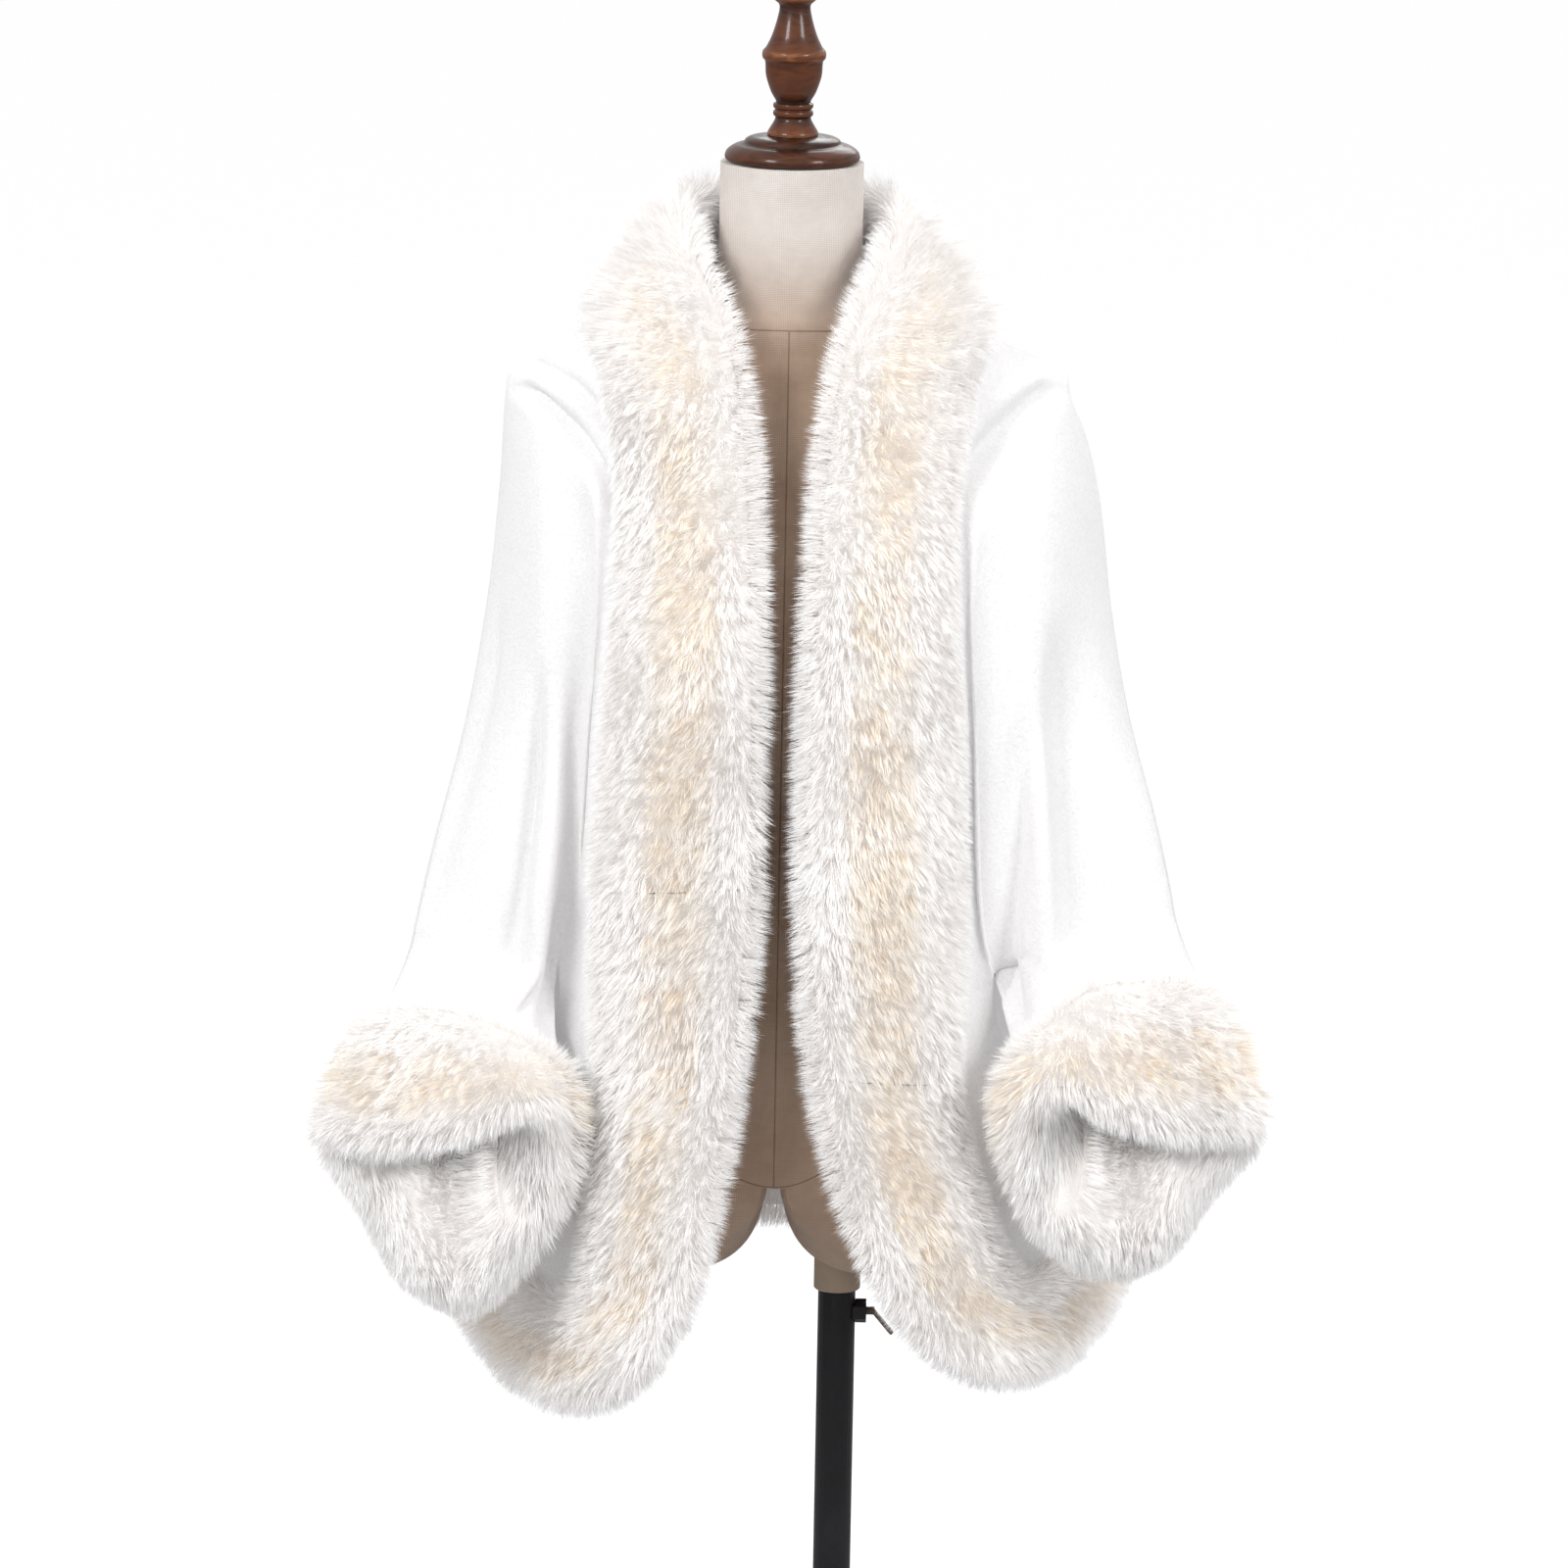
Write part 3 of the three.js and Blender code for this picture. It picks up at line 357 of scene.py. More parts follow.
def catmull(a, b, c, d, t):
    """Catmull-Rom: the cubic from b to c whose slopes there are (c - a) / 2 and (d - b) / 2."""
    return 0.5 * (2 * b + (c - a) * t + (2 * a - 5 * b + 4 * c - d) * t**2 + (3 * b - a - 3 * c + d) * t**3)


def along(values, place, closed=False):
    """A smooth curve through evenly spaced values, read at fractional places."""
    values, place = np.asarray(values, float), np.asarray(place, float)
    n = len(values)
    if closed:
        i = np.floor(place).astype(int)
        near = [values[(i + k) % n] for k in (-1, 0, 1, 2)]
    else:
        i = np.clip(np.floor(place).astype(int), 0, n - 2)
        ended = np.concatenate([2 * values[:1] - values[1:2], values, 2 * values[-1:] - values[-2:-1]])
        near = [ended[i + k] for k in range(4)]
    t = place - i
    return catmull(*near, t[..., None] if values.ndim > 1 else t)


def settle(points, side):
    """Points of the right half moved to a side, with the left's lower front shifted outwards and lifted."""
    x, y, drop = np.moveaxis(points, -1, 0)
    low = ease(drop, *MOVED_DROPS) * ease(-y, *MOVED_DEPTHS)
    hang = low * ease(x, *MOVED_WIDTHS)
    moved = x + side["hem_shift"] * (MOVED_SHARE * low + MOVED_OUTER_SHARE * hang)
    return np.stack([moved * side["sign"], y, drop - side["hem_lift"] * low], -1)


def border(side, place, line):
    """The border's "edge" or "seam" at fractional stations. Past both centre backs it runs on mirrored."""
    rows = np.stack([BORDER[f"{line}_{axis}"] for axis in ("x", "y", "drop")], -1)
    mirror = np.array([-1, 1, 1])
    rows = np.concatenate([rows[1:2] * mirror, rows, rows[-2:-1] * mirror])
    place = np.abs(np.asarray(place, float))
    i = np.clip(np.floor(place).astype(int), 0, HEM_CENTRE - 1)
    points = catmull(*(rows[i + k] for k in range(4)), (place - i)[..., None])
    return settle(points, SIDES[side])


def cuff(side, place, line):
    """The cuff's "edge" or "seam" at fractional rows of its ring."""
    rows = np.stack([CUFFS[side][f"{line}_{axis}"] for axis in ("x", "y", "drop")], -1)
    return along(rows, place, closed=True) * [SIDES[side]["sign"], 1, 1]


# %% [markdown]
# ## The cloth as a surface
#
# The cape could be sewn flat and dropped on the form with a cloth simulation. Its folds would then fall by
# chance. Here the hang is known, so the cloth is a formula instead: a smooth skin through level sections,
# with each soft fold pressed in as a long, low wave that dies out at the seams. Below the underarm the body
# and the sleeve are two skins, each a bundle of cubics from the last section down to the fur.


# %% Sections above the underarm
# A fold swells and fades over so many rows, or over a share of its length where that is less.
SWELL_ROWS, SWELL_SHARE = 1.2, 0.25
FADE_ROWS, FADE_SHARE = 1, 0.3
FRONT_TAPER, ARM_TAPER, SPINE_TAPER = 0.4, 0.35, 0.3  # how near to a seam the folds die out


def sections(side, rows):
    """The control points of level sections, shaped (rows, 11, 3), with one more past each end. A point's drop
    is a share of the way from the border's drop down to the arm's, or from the arm's up to the spine's."""
    set_of = SIDES[side]
    rows = np.asarray(rows, float)

    def at(name):
        return along(SECTIONS[name], rows)

    front = border(side, at("station"), "seam")
    arm, spine = at("arm_drop"), at("spine_drop")
    spread = set_of["spread"] * ease(rows, 0.5, 3.6)
    lift = set_of["sleeve_lift"] * ease(rows, 3, LAST_ROW)
    shoulder = 1 - ease(rows, 0, 1)

    def down(share):
        return mix(front[:, 2], arm, share)

    def up(share):
        return mix(arm, spine, share)

    def point(name, drop, share):
        x = (at(name + "_x") + spread * share) * set_of["sign"]
        return np.stack([x, at(name + "_y"), drop - lift * share], -1)

    rear = mix(up(0.15), down(0.6), shoulder)
    tuck = mix(mix(up(0.35), down(0.3), shoulder), down(0.3), ease(rows, 5, LAST_ROW))
    controls = [
        front,
        point("valley", down(0.3), 0),
        point("ridge", down(0.6), 0.6),
        point("arm", arm, 1),
        point("rear", rear, 0.6),
        point("tuck", tuck, 0),
        point("side", mix(up(0.55), front[:, 2], shoulder), 0),
        point("blade", up(0.8), 0),
        np.stack([0 * rows, at("spine_y"), spine], -1),
    ]
    before = 2 * controls[0] - controls[1]
    return np.stack([before, *controls, controls[BLADE] * [-1, 1, 1]], 1)


def smooth(side, rows, places):
    """The cloth without its folds: a curve through each section's control points, on a grid of points."""
    places = np.asarray(places, float)
    controls = sections(side, rows)
    i = np.clip(np.floor(places).astype(int), 0, BLADE)
    points = catmull(*(controls[:, i + k] for k in range(4)), (places - i)[None, :, None])
    if rows[0] == 0:  # on the shoulder line the back meets the front
        back, neck = (places > ARM) & (places < SIDE), places >= SIDE
        points[0, back] = smooth(side, rows[:1], 2 * ARM - places[back])[0] if back.any() else 0
        points[0, neck] = border(side, SHOULDER_STATION - (places[neck] - SIDE), "seam")
    return points


def fold_height(side, rows, places):
    """How far the folds lift the cloth: bell-shaped ridges and troughs along slanting lines."""
    row, place = np.asarray(rows, float)[:, None], np.asarray(places, float)[None, :]

    def waves(folds):
        total = 0 * row * place
        for start, at_start, end, at_end, width, height in zip(*folds.values(), strict=True):
            line = mix(at_start, at_end, (row - start) / (end - start))
            run = end - start
            swell = ease(row, start, start + min(SWELL_ROWS, SWELL_SHARE * run))
            share = swell * (1 - ease(row, end - min(FADE_ROWS, FADE_SHARE * run), end))
            total = total + height * share * np.exp(-(((place - line) / width) ** 2))
        return total

    taper = ease(place, 0, FRONT_TAPER) * ease(abs(place - ARM), 0, ARM_TAPER)
    taper = taper * ease(SPINE - place, 0, SPINE_TAPER)
    return taper * np.where(place < ARM, waves(FOLDS[side]), waves(FOLDS["back"]))


def folded(side, rows, places):
    """The cloth with its folds, which lift it level and square to its section."""
    step = 0.02
    chord = smooth(side, rows, places + step) - smooth(side, rows, places - step)
    outwards = unit(np.stack([chord[..., 1], -chord[..., 0], 0 * chord[..., 0]], -1)) * SIDES[side]["sign"]
    return smooth(side, rows, places) + outwards * fold_height(side, rows, places)[..., None]


# %% Body and sleeve below the underarm
SEAM_REACH = 0.9
BODY_SEAM_BULGE, SLEEVE_SEAM_BULGE = -30, 16
LEAVING_STEP = 0.25  # of a row, over which a skin's direction is read at the last section
LEAVING_PULL = [0.5, 0.5, 1]  # how strongly that direction is kept across, in depth and down


def hanging(side, places, t, target):
    """Cubics from the last section, which they leave in its own direction, to the target points."""
    top = folded(side, np.array([LAST_ROW]), places)[0]
    above = folded(side, np.array([LAST_ROW - LEAVING_STEP]), places)[0]
    run = target - top
    start = unit(top - above) * np.linalg.norm(run, axis=-1, keepdims=True) * LEAVING_PULL
    t = np.asarray(t, float)[:, None, None]
    s, c = t**2, t**3
    return top * (2 * c - 3 * s + 1) + start * (c - 2 * s + t) + target * (3 * s - 2 * c) + run * (c - s)


def hem_station(places):
    """The border's station under a place on the last section."""
    front = mix(FRONT_CORNER, SIDE_STATION, places / VALLEY)
    back = mix(SIDE_STATION, HEM_CENTRE, (places - TUCK) / (SPINE - TUCK))
    return np.where(places <= VALLEY, front, back)


def cuff_place(places):
    """The cuff's row under a place on the last section, from the inner bend over the front and round."""
    front = mix(CUFF_INNER, 0, (places - VALLEY) / (ARM - VALLEY))
    back = mix(CUFF_ROWS, CUFF_INNER, (places - ARM) / (TUCK - ARM))
    return np.where(places <= ARM, front, back)


def body_hang(side, places, t):
    """The body below the last section, as it hangs to the border's seam."""
    return hanging(side, places, t, border(side, hem_station(places), "seam"))


def sleeve_hang(side, places, t):
    """The sleeve below the last section, as it hangs to the cuff's seam."""
    return hanging(side, places, t, cuff(side, cuff_place(places), "seam"))


def seamed(hang, side, places, t, bulge):
    """A hanging skin whose front and back edges under the arm are drawn together into one bulging seam."""
    own = hang(side, places, t)
    front, back = (hang(side, np.array([float(p)]), t) for p in (VALLEY, TUCK))
    is_front = abs(places - VALLEY) < abs(places - TUCK)
    share = 1 - ease(abs(places - np.where(is_front, VALLEY, TUCK)), 0, SEAM_REACH)
    t = np.asarray(t, float)[:, None]
    pull = (front + back) / 2 - np.where(is_front[None, :, None], front, back)
    own = own + pull * (share * (t > 0))[..., None]
    own[..., 0] += SIDES[side]["sign"] * bulge * share * t * (1 - t) ** 2
    return own


def body(side, places, t):
    """The body's skin. Beside the border its edge follows the border's seam."""
    points = seamed(body_hang, side, places, t, BODY_SEAM_BULGE)
    seam = border(side, mix(SECTIONS["station"][-1], FRONT_CORNER, t), "seam")
    share = np.clip(1 - places / VALLEY, 0, 1) ** 2
    return points + (seam - body_hang(side, np.array([0.0]), t)[:, 0])[:, None] * share[None, :, None]


def sleeve(side, places, t):
    """The sleeve's skin, from the last section to the cuff."""
    return seamed(sleeve_hang, side, places, t, SLEEVE_SEAM_BULGE)


# %% Putting points and faces into meshes
def to_frame(points):
    """Points round the form, in millimetres with drops, as metres in the frame."""
    return np.asarray(points) * [0.001, 0.001, -0.001] + [FORM_AXIS_X, 0, NECK_RIM_Z]


def grid_faces(rows, columns, around=False, first=0):
    """Quads of a grid of points. The last column joins the first where the grid runs around."""
    i, j = np.meshgrid(np.arange(rows - 1), np.arange(columns - (not around)), indexing="ij")
    k = (j + 1) % columns
    quads = np.stack([i * columns + j, i * columns + k, (i + 1) * columns + k, (i + 1) * columns + j], -1)
    return quads.reshape(-1, 4) + first


def make_piece(name, points, faces, material, rides_on, uv=None):
    """A mesh object of points round the form and a list of arrays of faces. It rides on a CAD body.
    uv is one pair for each point."""
    mesh = bpy.data.meshes.new(name)
    mesh.from_pydata(to_frame(points).tolist(), [], [face for part in faces for face in part.tolist()])
    mesh.polygons.foreach_set("use_smooth", np.ones(len(mesh.polygons), bool))
    if uv is not None:
        corners = np.zeros(len(mesh.loops), int)
        mesh.loops.foreach_get("vertex_index", corners)
        mesh.uv_layers.new(name="OFBake").data.foreach_set("uv", np.asarray(uv, np.float32)[corners].ravel())
    mesh.materials.append(material)
    piece = bpy.data.objects.new(name, mesh)
    scene.collection.objects.link(piece)
    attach(piece, rides_on)
    return piece


def turn_outwards(piece):
    """Makes a closed piece's faces point out."""
    shape = bmesh.new()
    shape.from_mesh(piece.data)
    bmesh.ops.recalc_face_normals(shape, faces=shape.faces)
    shape.to_mesh(piece.data)
    shape.free()


def lofted(rings, closed=False):
    """Points and faces of a closed skin through rings. Open ends are closed by fans on their centres."""
    count, size = rings.shape[:2]
    points = rings.reshape(-1, 3)
    if closed:
        joined = grid_faces(count + 1, size, around=True) % (count * size)
        return points, [joined]
    ahead = np.arange(size)
    after = (ahead + 1) % size
    last = (count - 1) * size
    centres = rings[[0, -1]].mean(1)
    first_fan = np.stack([after, ahead, np.full(size, len(points))], -1)
    last_fan = np.stack([ahead + last, after + last, np.full(size, len(points) + 1)], -1)
    return np.concatenate([points, centres]), [grid_faces(count, size, around=True), first_fan, last_fan]


def superellipse(angle, square):
    """Points of |u|^n + |v|^n = 1: an ellipse at n = 2, and fuller above."""
    return [np.sign(x) * np.abs(x) ** (2 / square) for x in (np.cos(angle), np.sin(angle))]


def finish_closed(piece, crease=40):
    """A closed piece with its faces outwards, and its corners sharp above an angle in degrees."""
    turn_outwards(piece)
    piece.data.set_sharp_from_angle(angle=math.radians(crease))


# %% [markdown]
# ## Surface effects that several materials share
#
# Cloth, fur and linen all need the same few things: blotches that break up a plain colour, and a fine relief
# that catches the light. Each is a node group, made once. They give only values, so each material still
# decides what the values do.


# %% Shared node groups
def make_blotches():
    """Large, soft, cloudy variation from 0 to 1, with finer variation laid over it."""
    tree, inside, out = new_group(
        "blotches", {"Vector": ("Vector", None), "Scale": ("Float", 10.0)}, {"Value": ("Float", None)})
    coarse = add(tree, "TexNoise", {"Vector": inside["Vector"], "Scale": inside["Scale"], "Detail": 3.0})
    fine_scale = maths(tree, "MULTIPLY", inside["Scale"], 6.0)
    fine = add(tree, "TexNoise", {"Vector": inside["Vector"], "Scale": fine_scale, "Detail": 2.0})
    both = maths(tree, "ADD", maths(tree, "MULTIPLY", coarse.outputs[0], 0.7),
                 maths(tree, "MULTIPLY", fine.outputs[0], 0.3))
    tree.links.new(between(tree, both, 0.3, 0.7), out["Value"])
    return tree


def make_nap():
    """The relief of brushed knit: rounded tufts a few millimetres wide, with single hairs over them."""
    tree, inside, out = new_group(
        "nap", {"Vector": ("Vector", None), "Tufts per metre": ("Float", 400.0)}, {"Height": ("Float", None)})
    tufts = add(tree, "TexNoise", {
        "Vector": inside["Vector"], "Scale": inside["Tufts per metre"], "Detail": 3.0, "Distortion": 0.6})
    hair_scale = maths(tree, "MULTIPLY", inside["Tufts per metre"], 3.5)
    hairs = add(tree, "TexNoise", {"Vector": inside["Vector"], "Scale": hair_scale, "Detail": 2.0,
                                   "Distortion": 1.5})
    height = maths(tree, "ADD", maths(tree, "MULTIPLY", tufts.outputs[0], 0.7),
                   maths(tree, "MULTIPLY", hairs.outputs[0], 0.3))
    tree.links.new(height, out["Height"])
    return tree


def make_weave():
    """A plain weave from two crossed sets of threads. The taller of the two shows at each place."""
    tree, inside, out = new_group(
        "weave", {"Vector": ("Vector", None), "Threads per metre": ("Float", 900.0)},
        {"Height": ("Float", None)})
    slubs = add(tree, "TexNoise", {"Vector": inside["Vector"], "Scale": 60.0, "Detail": 2.0})
    place = add(tree, "SeparateXYZ", {0: inside["Vector"]})
    turns = maths(tree, "MULTIPLY", inside["Threads per metre"], 2 * math.pi)
    wander = maths(tree, "MULTIPLY", slubs.outputs[0], 6.0)
    level = maths(tree, "ADD", maths(tree, "MULTIPLY", place.outputs["Z"], turns), wander)
    round_ = maths(tree, "ADD", maths(tree, "MULTIPLY", place.outputs["X"], turns), wander)
    weft, warp = maths(tree, "SINE", level), maths(tree, "SINE", round_)
    tree.links.new(maths(tree, "MAXIMUM", weft, warp), out["Height"])
    return tree


blotches, nap, weave = make_blotches(), make_nap(), make_weave()


def use(tree, group, **inputs):
    """Places a node group in a material and gives its one output. Inputs are values or sockets."""
    node = tree.nodes.new("ShaderNodeGroup")
    node.node_tree = group
    feed(tree, node, {name.replace("_", " "): value for name, value in inputs.items()})
    return node.outputs[0]


def raise_surface(tree, shader, height, depth):
    """Bumps a shader by a height from 0 to 1, over a depth in metres."""
    bump = add(tree, "Bump", {"Height": height, "Distance": depth, "Strength": 1.0})
    tree.links.new(bump.outputs[0], shader["Normal"])


# %% Materials of the cape
def make_fleece():
    """White brushed knit: matt, with painted shade that turns the hollows of its nap faintly lavender, and a
    soft sheen of loose hairs.
    """
    material, tree, shader = new_material(
        "white_fleece", Roughness=1.0, Sheen_Weight=0.35, Sheen_Roughness=0.6, Specular_IOR_Level=0.1)
    place = add(tree, "TexCoord").outputs["Object"]
    relief = use(tree, nap, Vector=place, Tufts_per_metre=450.0)
    cloudy = use(tree, blotches, Vector=place, Scale=14.0)
    white = mixed(tree, cloudy, (0.862, 0.857, 0.86), (0.887, 0.881, 0.88))
    # painted shade: the low places of the nap's relief are darkened towards lavender
    nap_shade = mixed(tree, between(tree, relief, 0.3, 0.6), (0.92, 0.915, 0.925), (1, 1, 1))
    tree.links.new(mixed(tree, 1.0, white, nap_shade, "MULTIPLY"), shader["Base Color"])
    raise_surface(tree, shader, relief, 0.0009)
    return material


ZONES = 24  # round the strip, for the pile's map: its height is the share of a zone
ZONE_WIDTH = 0.013  # metres from one zone to the next, for the patches of ochre
WARM_TURN = -0.02  # of a full turn, from the strip's middle towards its seam
WARM_REACH = (0.86, 1.0)  # how squarely a zone must face outwards for the ochre to begin and to be full
COLLAR_SHADE_BELOW_RIM = (0.16, 0.02)  # metres below the neck's rim where painted shade starts to grey the fur's white, and where it is full


def make_pile(name, stains, white_start):
    """Long fur: ochre at the skin and white at the tips, and painted shade greys the white near the neck's
    rim. Its map holds metres along the strip, and its height above the skin. A stain is (metres along the
    strip, reach in metres, strength). The ochre comes in over white_start metres from the strip's start."""
    material, tree, shader = new_material(
        name, Roughness=1.0, Specular_IOR_Level=0.0, Sheen_Weight=0.25, Sheen_Roughness=0.6)
    uv = add(tree, "UVMap", uv_map="OFBake").outputs[0]
    place = add(tree, "SeparateXYZ", {0: uv})
    along_strip = place.outputs["X"]
    height = maths(tree, "FRACT", maths(tree, "MULTIPLY", place.outputs["Y"], float(ZONES)))
    zone = maths(tree, "FLOOR", maths(tree, "MULTIPLY", place.outputs["Y"], float(ZONES)))
    across_strip = maths(tree, "MULTIPLY", zone, ZONE_WIDTH)
    spot = add(tree, "CombineXYZ", {"X": along_strip, "Y": across_strip}).outputs[0]
    patch = add(tree, "TexNoise", {"Vector": spot, "Scale": 48.0, "Detail": 3.0}).outputs[0]
    strand = add(tree, "TexNoise", {"Vector": spot, "Scale": 900.0, "Detail": 1.0}).outputs[0]
    warm = between(tree, patch, 0.38, 0.62, 0.15, 1.0)
    for centre, reach, strength in stains:
        distance = maths(tree, "ABSOLUTE", maths(tree, "SUBTRACT", along_strip, centre))
        warm = maths(tree, "MAXIMUM", warm, between(tree, distance, 0.0, reach, strength, 0.0))
    turned = maths(tree, "ADD", zone, 0.5 - ZONES * WARM_TURN)
    outwards = maths(tree, "SINE", maths(tree, "MULTIPLY", turned, 2 * math.pi / ZONES))
    warm = maths(tree, "MULTIPLY", warm, between(tree, outwards, *WARM_REACH))
    warm = maths(tree, "MULTIPLY", warm, between(tree, strand, 0.4, 0.6, 0.1, 1.0))
    warm = maths(tree, "MULTIPLY", warm, between(tree, along_strip, 0.0, white_start))
    # painted shade: the fur's white turns greyer towards the top of the collar, near the neck's rim
    part = add(tree, "SeparateXYZ", {0: add(tree, "TexCoord").outputs["Object"]})
    high = between(tree, part.outputs["Z"], *(NECK_RIM_Z - below for below in COLLAR_SHADE_BELOW_RIM))
    white = mixed(tree, high, (0.995, 0.991, 0.988), (0.94, 0.935, 0.935))
    tip = mixed(tree, warm, white, (0.985, 0.925, 0.82))
    root = mixed(tree, warm, (0.994, 0.971, 0.955), (0.90, 0.70, 0.44))
    rise = between(tree, maths(tree, "ADD", height, maths(tree, "MULTIPLY", strand, 0.25)), 0.25, 0.95)
    tree.links.new(mixed(tree, rise, root, tip), shader["Base Color"])
    return material


def make_hide():
    """The fur's skin and underwool, seen only between the hairs."""
    material, tree, shader = new_material("cream_underwool", Roughness=1.0, Specular_IOR_Level=0.1)
    place = add(tree, "TexCoord").outputs["Object"]
    cloudy = use(tree, blotches, Vector=place, Scale=40.0)
    tree.links.new(mixed(tree, cloudy, (0.978, 0.945, 0.922), (0.988, 0.968, 0.952)), shader["Base Color"])
    raise_surface(tree, shader, use(tree, nap, Vector=place, Tufts_per_metre=500.0), 0.002)
    return material


fleece, hide = make_fleece(), make_hide()

# %% [markdown]
# ## Three panels of cloth
#
# A maker cuts two fronts and one back, each in one piece with its half of the sleeve. They are sewn
# together over the arm and under it. Here the whole cloth is one net of points first, so that both sides of a
# seam share their direction. Each panel is then cut out of it, given its thickness, and drawn back a
# little at its seams, which leaves a fine line there as sewing does.

# %% Panels of cloth
CLOTH_THICKNESS = 2
SEAM_INSET = 0.3
ROWS = np.linspace(0, LAST_ROW, 71)
BODY_DROPS = np.linspace(0, 1, 41)
SLEEVE_DROPS = np.linspace(0, 1, 31)
FRONT_BODY = np.linspace(FRONT, VALLEY, 25)
FRONT_SLEEVE = np.linspace(VALLEY, ARM, 49)
BACK_SLEEVE = np.linspace(ARM, TUCK, 45)
BACK_BODY = np.concatenate([np.linspace(TUCK, SIDE, 21), np.linspace(SIDE, SPINE, 33)[1:]])


def cloth_net():
    """All the cloth as one net: its points, its quads, and the panel that each quad belongs to."""
    patches = []
    for side, about in SIDES.items():
        front = "front_" + side
        for panel, points in [
            (front, folded(side, ROWS, np.concatenate([FRONT_BODY, FRONT_SLEEVE[1:]]))),
            (front, body(side, FRONT_BODY, BODY_DROPS)),
            (front, sleeve(side, FRONT_SLEEVE, SLEEVE_DROPS)),
            ("back", folded(side, ROWS, np.concatenate([BACK_SLEEVE, BACK_BODY[1:]]))),
            ("back", body(side, BACK_BODY, BODY_DROPS)),
            ("back", sleeve(side, BACK_SLEEVE, SLEEVE_DROPS)),
        ]:
            quads = grid_faces(*points.shape[:2])
            patches.append((panel, points.reshape(-1, 3), quads if about["sign"] < 0 else quads[:, ::-1]))
    starts = np.cumsum([0] + [len(points) for _, points, _ in patches])
    points = np.concatenate([points for _, points, _ in patches])
    _, kept, index = np.unique(np.round(points * 1e3), axis=0, return_index=True, return_inverse=True)
    quads = np.concatenate([quads + start for (_, _, quads), start in zip(patches, starts, strict=False)])
    panels = np.concatenate([[panel] * len(quads) for panel, _, quads in patches])
    return points[kept], index.ravel()[quads], panels


def point_normals(points, quads):
    """The direction of the net at each point, from the quads round it."""
    a, b, c, d = (points[quads[:, k]] for k in range(4))
    total = np.zeros_like(points)
    for k in range(4):
        np.add.at(total, quads[:, k], np.cross(c - a, d - b))
    return unit(total)


def cut_panel(net, panel):
    """One panel as a closed wall: its points, its faces, and its flat area in square metres."""
    points, quads, panels = net
    own = quads[panels == panel]
    used, corners = np.unique(own, return_inverse=True)
    corners = corners.reshape(own.shape)
    pull = np.zeros_like(points)
    centres = points[own].mean(1)
    for k in range(4):
        np.add.at(pull, own[:, k], centres - points[own[:, k]])
    normal, pull = point_normals(points, quads)[used], pull[used]
    pull = unit(pull - normal * (pull * normal).sum(-1, keepdims=True))
    at_seam = np.isin(used, quads[panels != panel])[:, None]
    middle = points[used] + pull * SEAM_INSET * at_seam
    half = normal * CLOTH_THICKNESS / 2
    n = len(used)
    edges = np.concatenate([corners[:, [k, (k + 1) % 4]] for k in range(4)])
    lone = ~np.isin(edges[:, 0] * n + edges[:, 1], edges[:, 1] * n + edges[:, 0])
    a, b = edges[lone].T
    rim = np.stack([b, a, a + n, b + n], -1)
    a, b, c, d = (points[own[:, k]] for k in range(4))
    area = np.linalg.norm(np.cross(c - a, d - b), axis=-1).sum() / 2 * 1e-6
    return np.concatenate([middle + half, middle - half]), [corners, corners[:, ::-1] + n, rim], area


net = cloth_net()
cloth_pieces = {}
for panel in ("front_right", "front_left", "back"):
    points, faces, area = cut_panel(net, panel)
    piece = make_piece("cloth_" + panel, points, faces, fleece, "form")
    finish_closed(piece, 60)
    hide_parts(panel)
    cloth_pieces[panel] = piece
    print(piece.name, "has", len(piece.data.polygons), "faces and a flat area of", round(area, 3))

# %% [markdown]
# ## The fur
#
# The real border is one strip of sheepskin after another, sewn edge to edge, with hair about 20 mm long. It
# could be done with a hair system, but its strands would not be a mesh. Instead each strip gets a
# plump skin, and each hair is a narrow kite of two triangles, which leaves the skin and bends over. The hairs
# are gathered into locks: all the tips of one lock are drawn towards their middle.

# %% Strips of fur
BORDER_THICKNESS, CUFF_THICKNESS = 46, 44
BORDER_SQUARENESS, CUFF_SQUARENESS = 2.25, 2.6
SKIN_DEPTH = 11.0  # from the tips down to the skin
EDGE_MARGIN = 19.5  # from the strip's free edge to the skin
SKIN_ROWS, SKIN_COLUMNS = 90, 24
HAIR_LENGTH = 20.0
HAIR_WIDTH = 0.59
HAIRS_PER_CM2 = 45
SEAM_TRIM = 0.28  # how much shorter the hairs are at the seam
INNER_SHARE = 0.3  # how many of the hairs grow on the side next to the form
LOCK_SIZE = 4.0  # the distance from one lock of hairs to the next
JOIN = 0.004  # of a station, from the end of a strip to the join


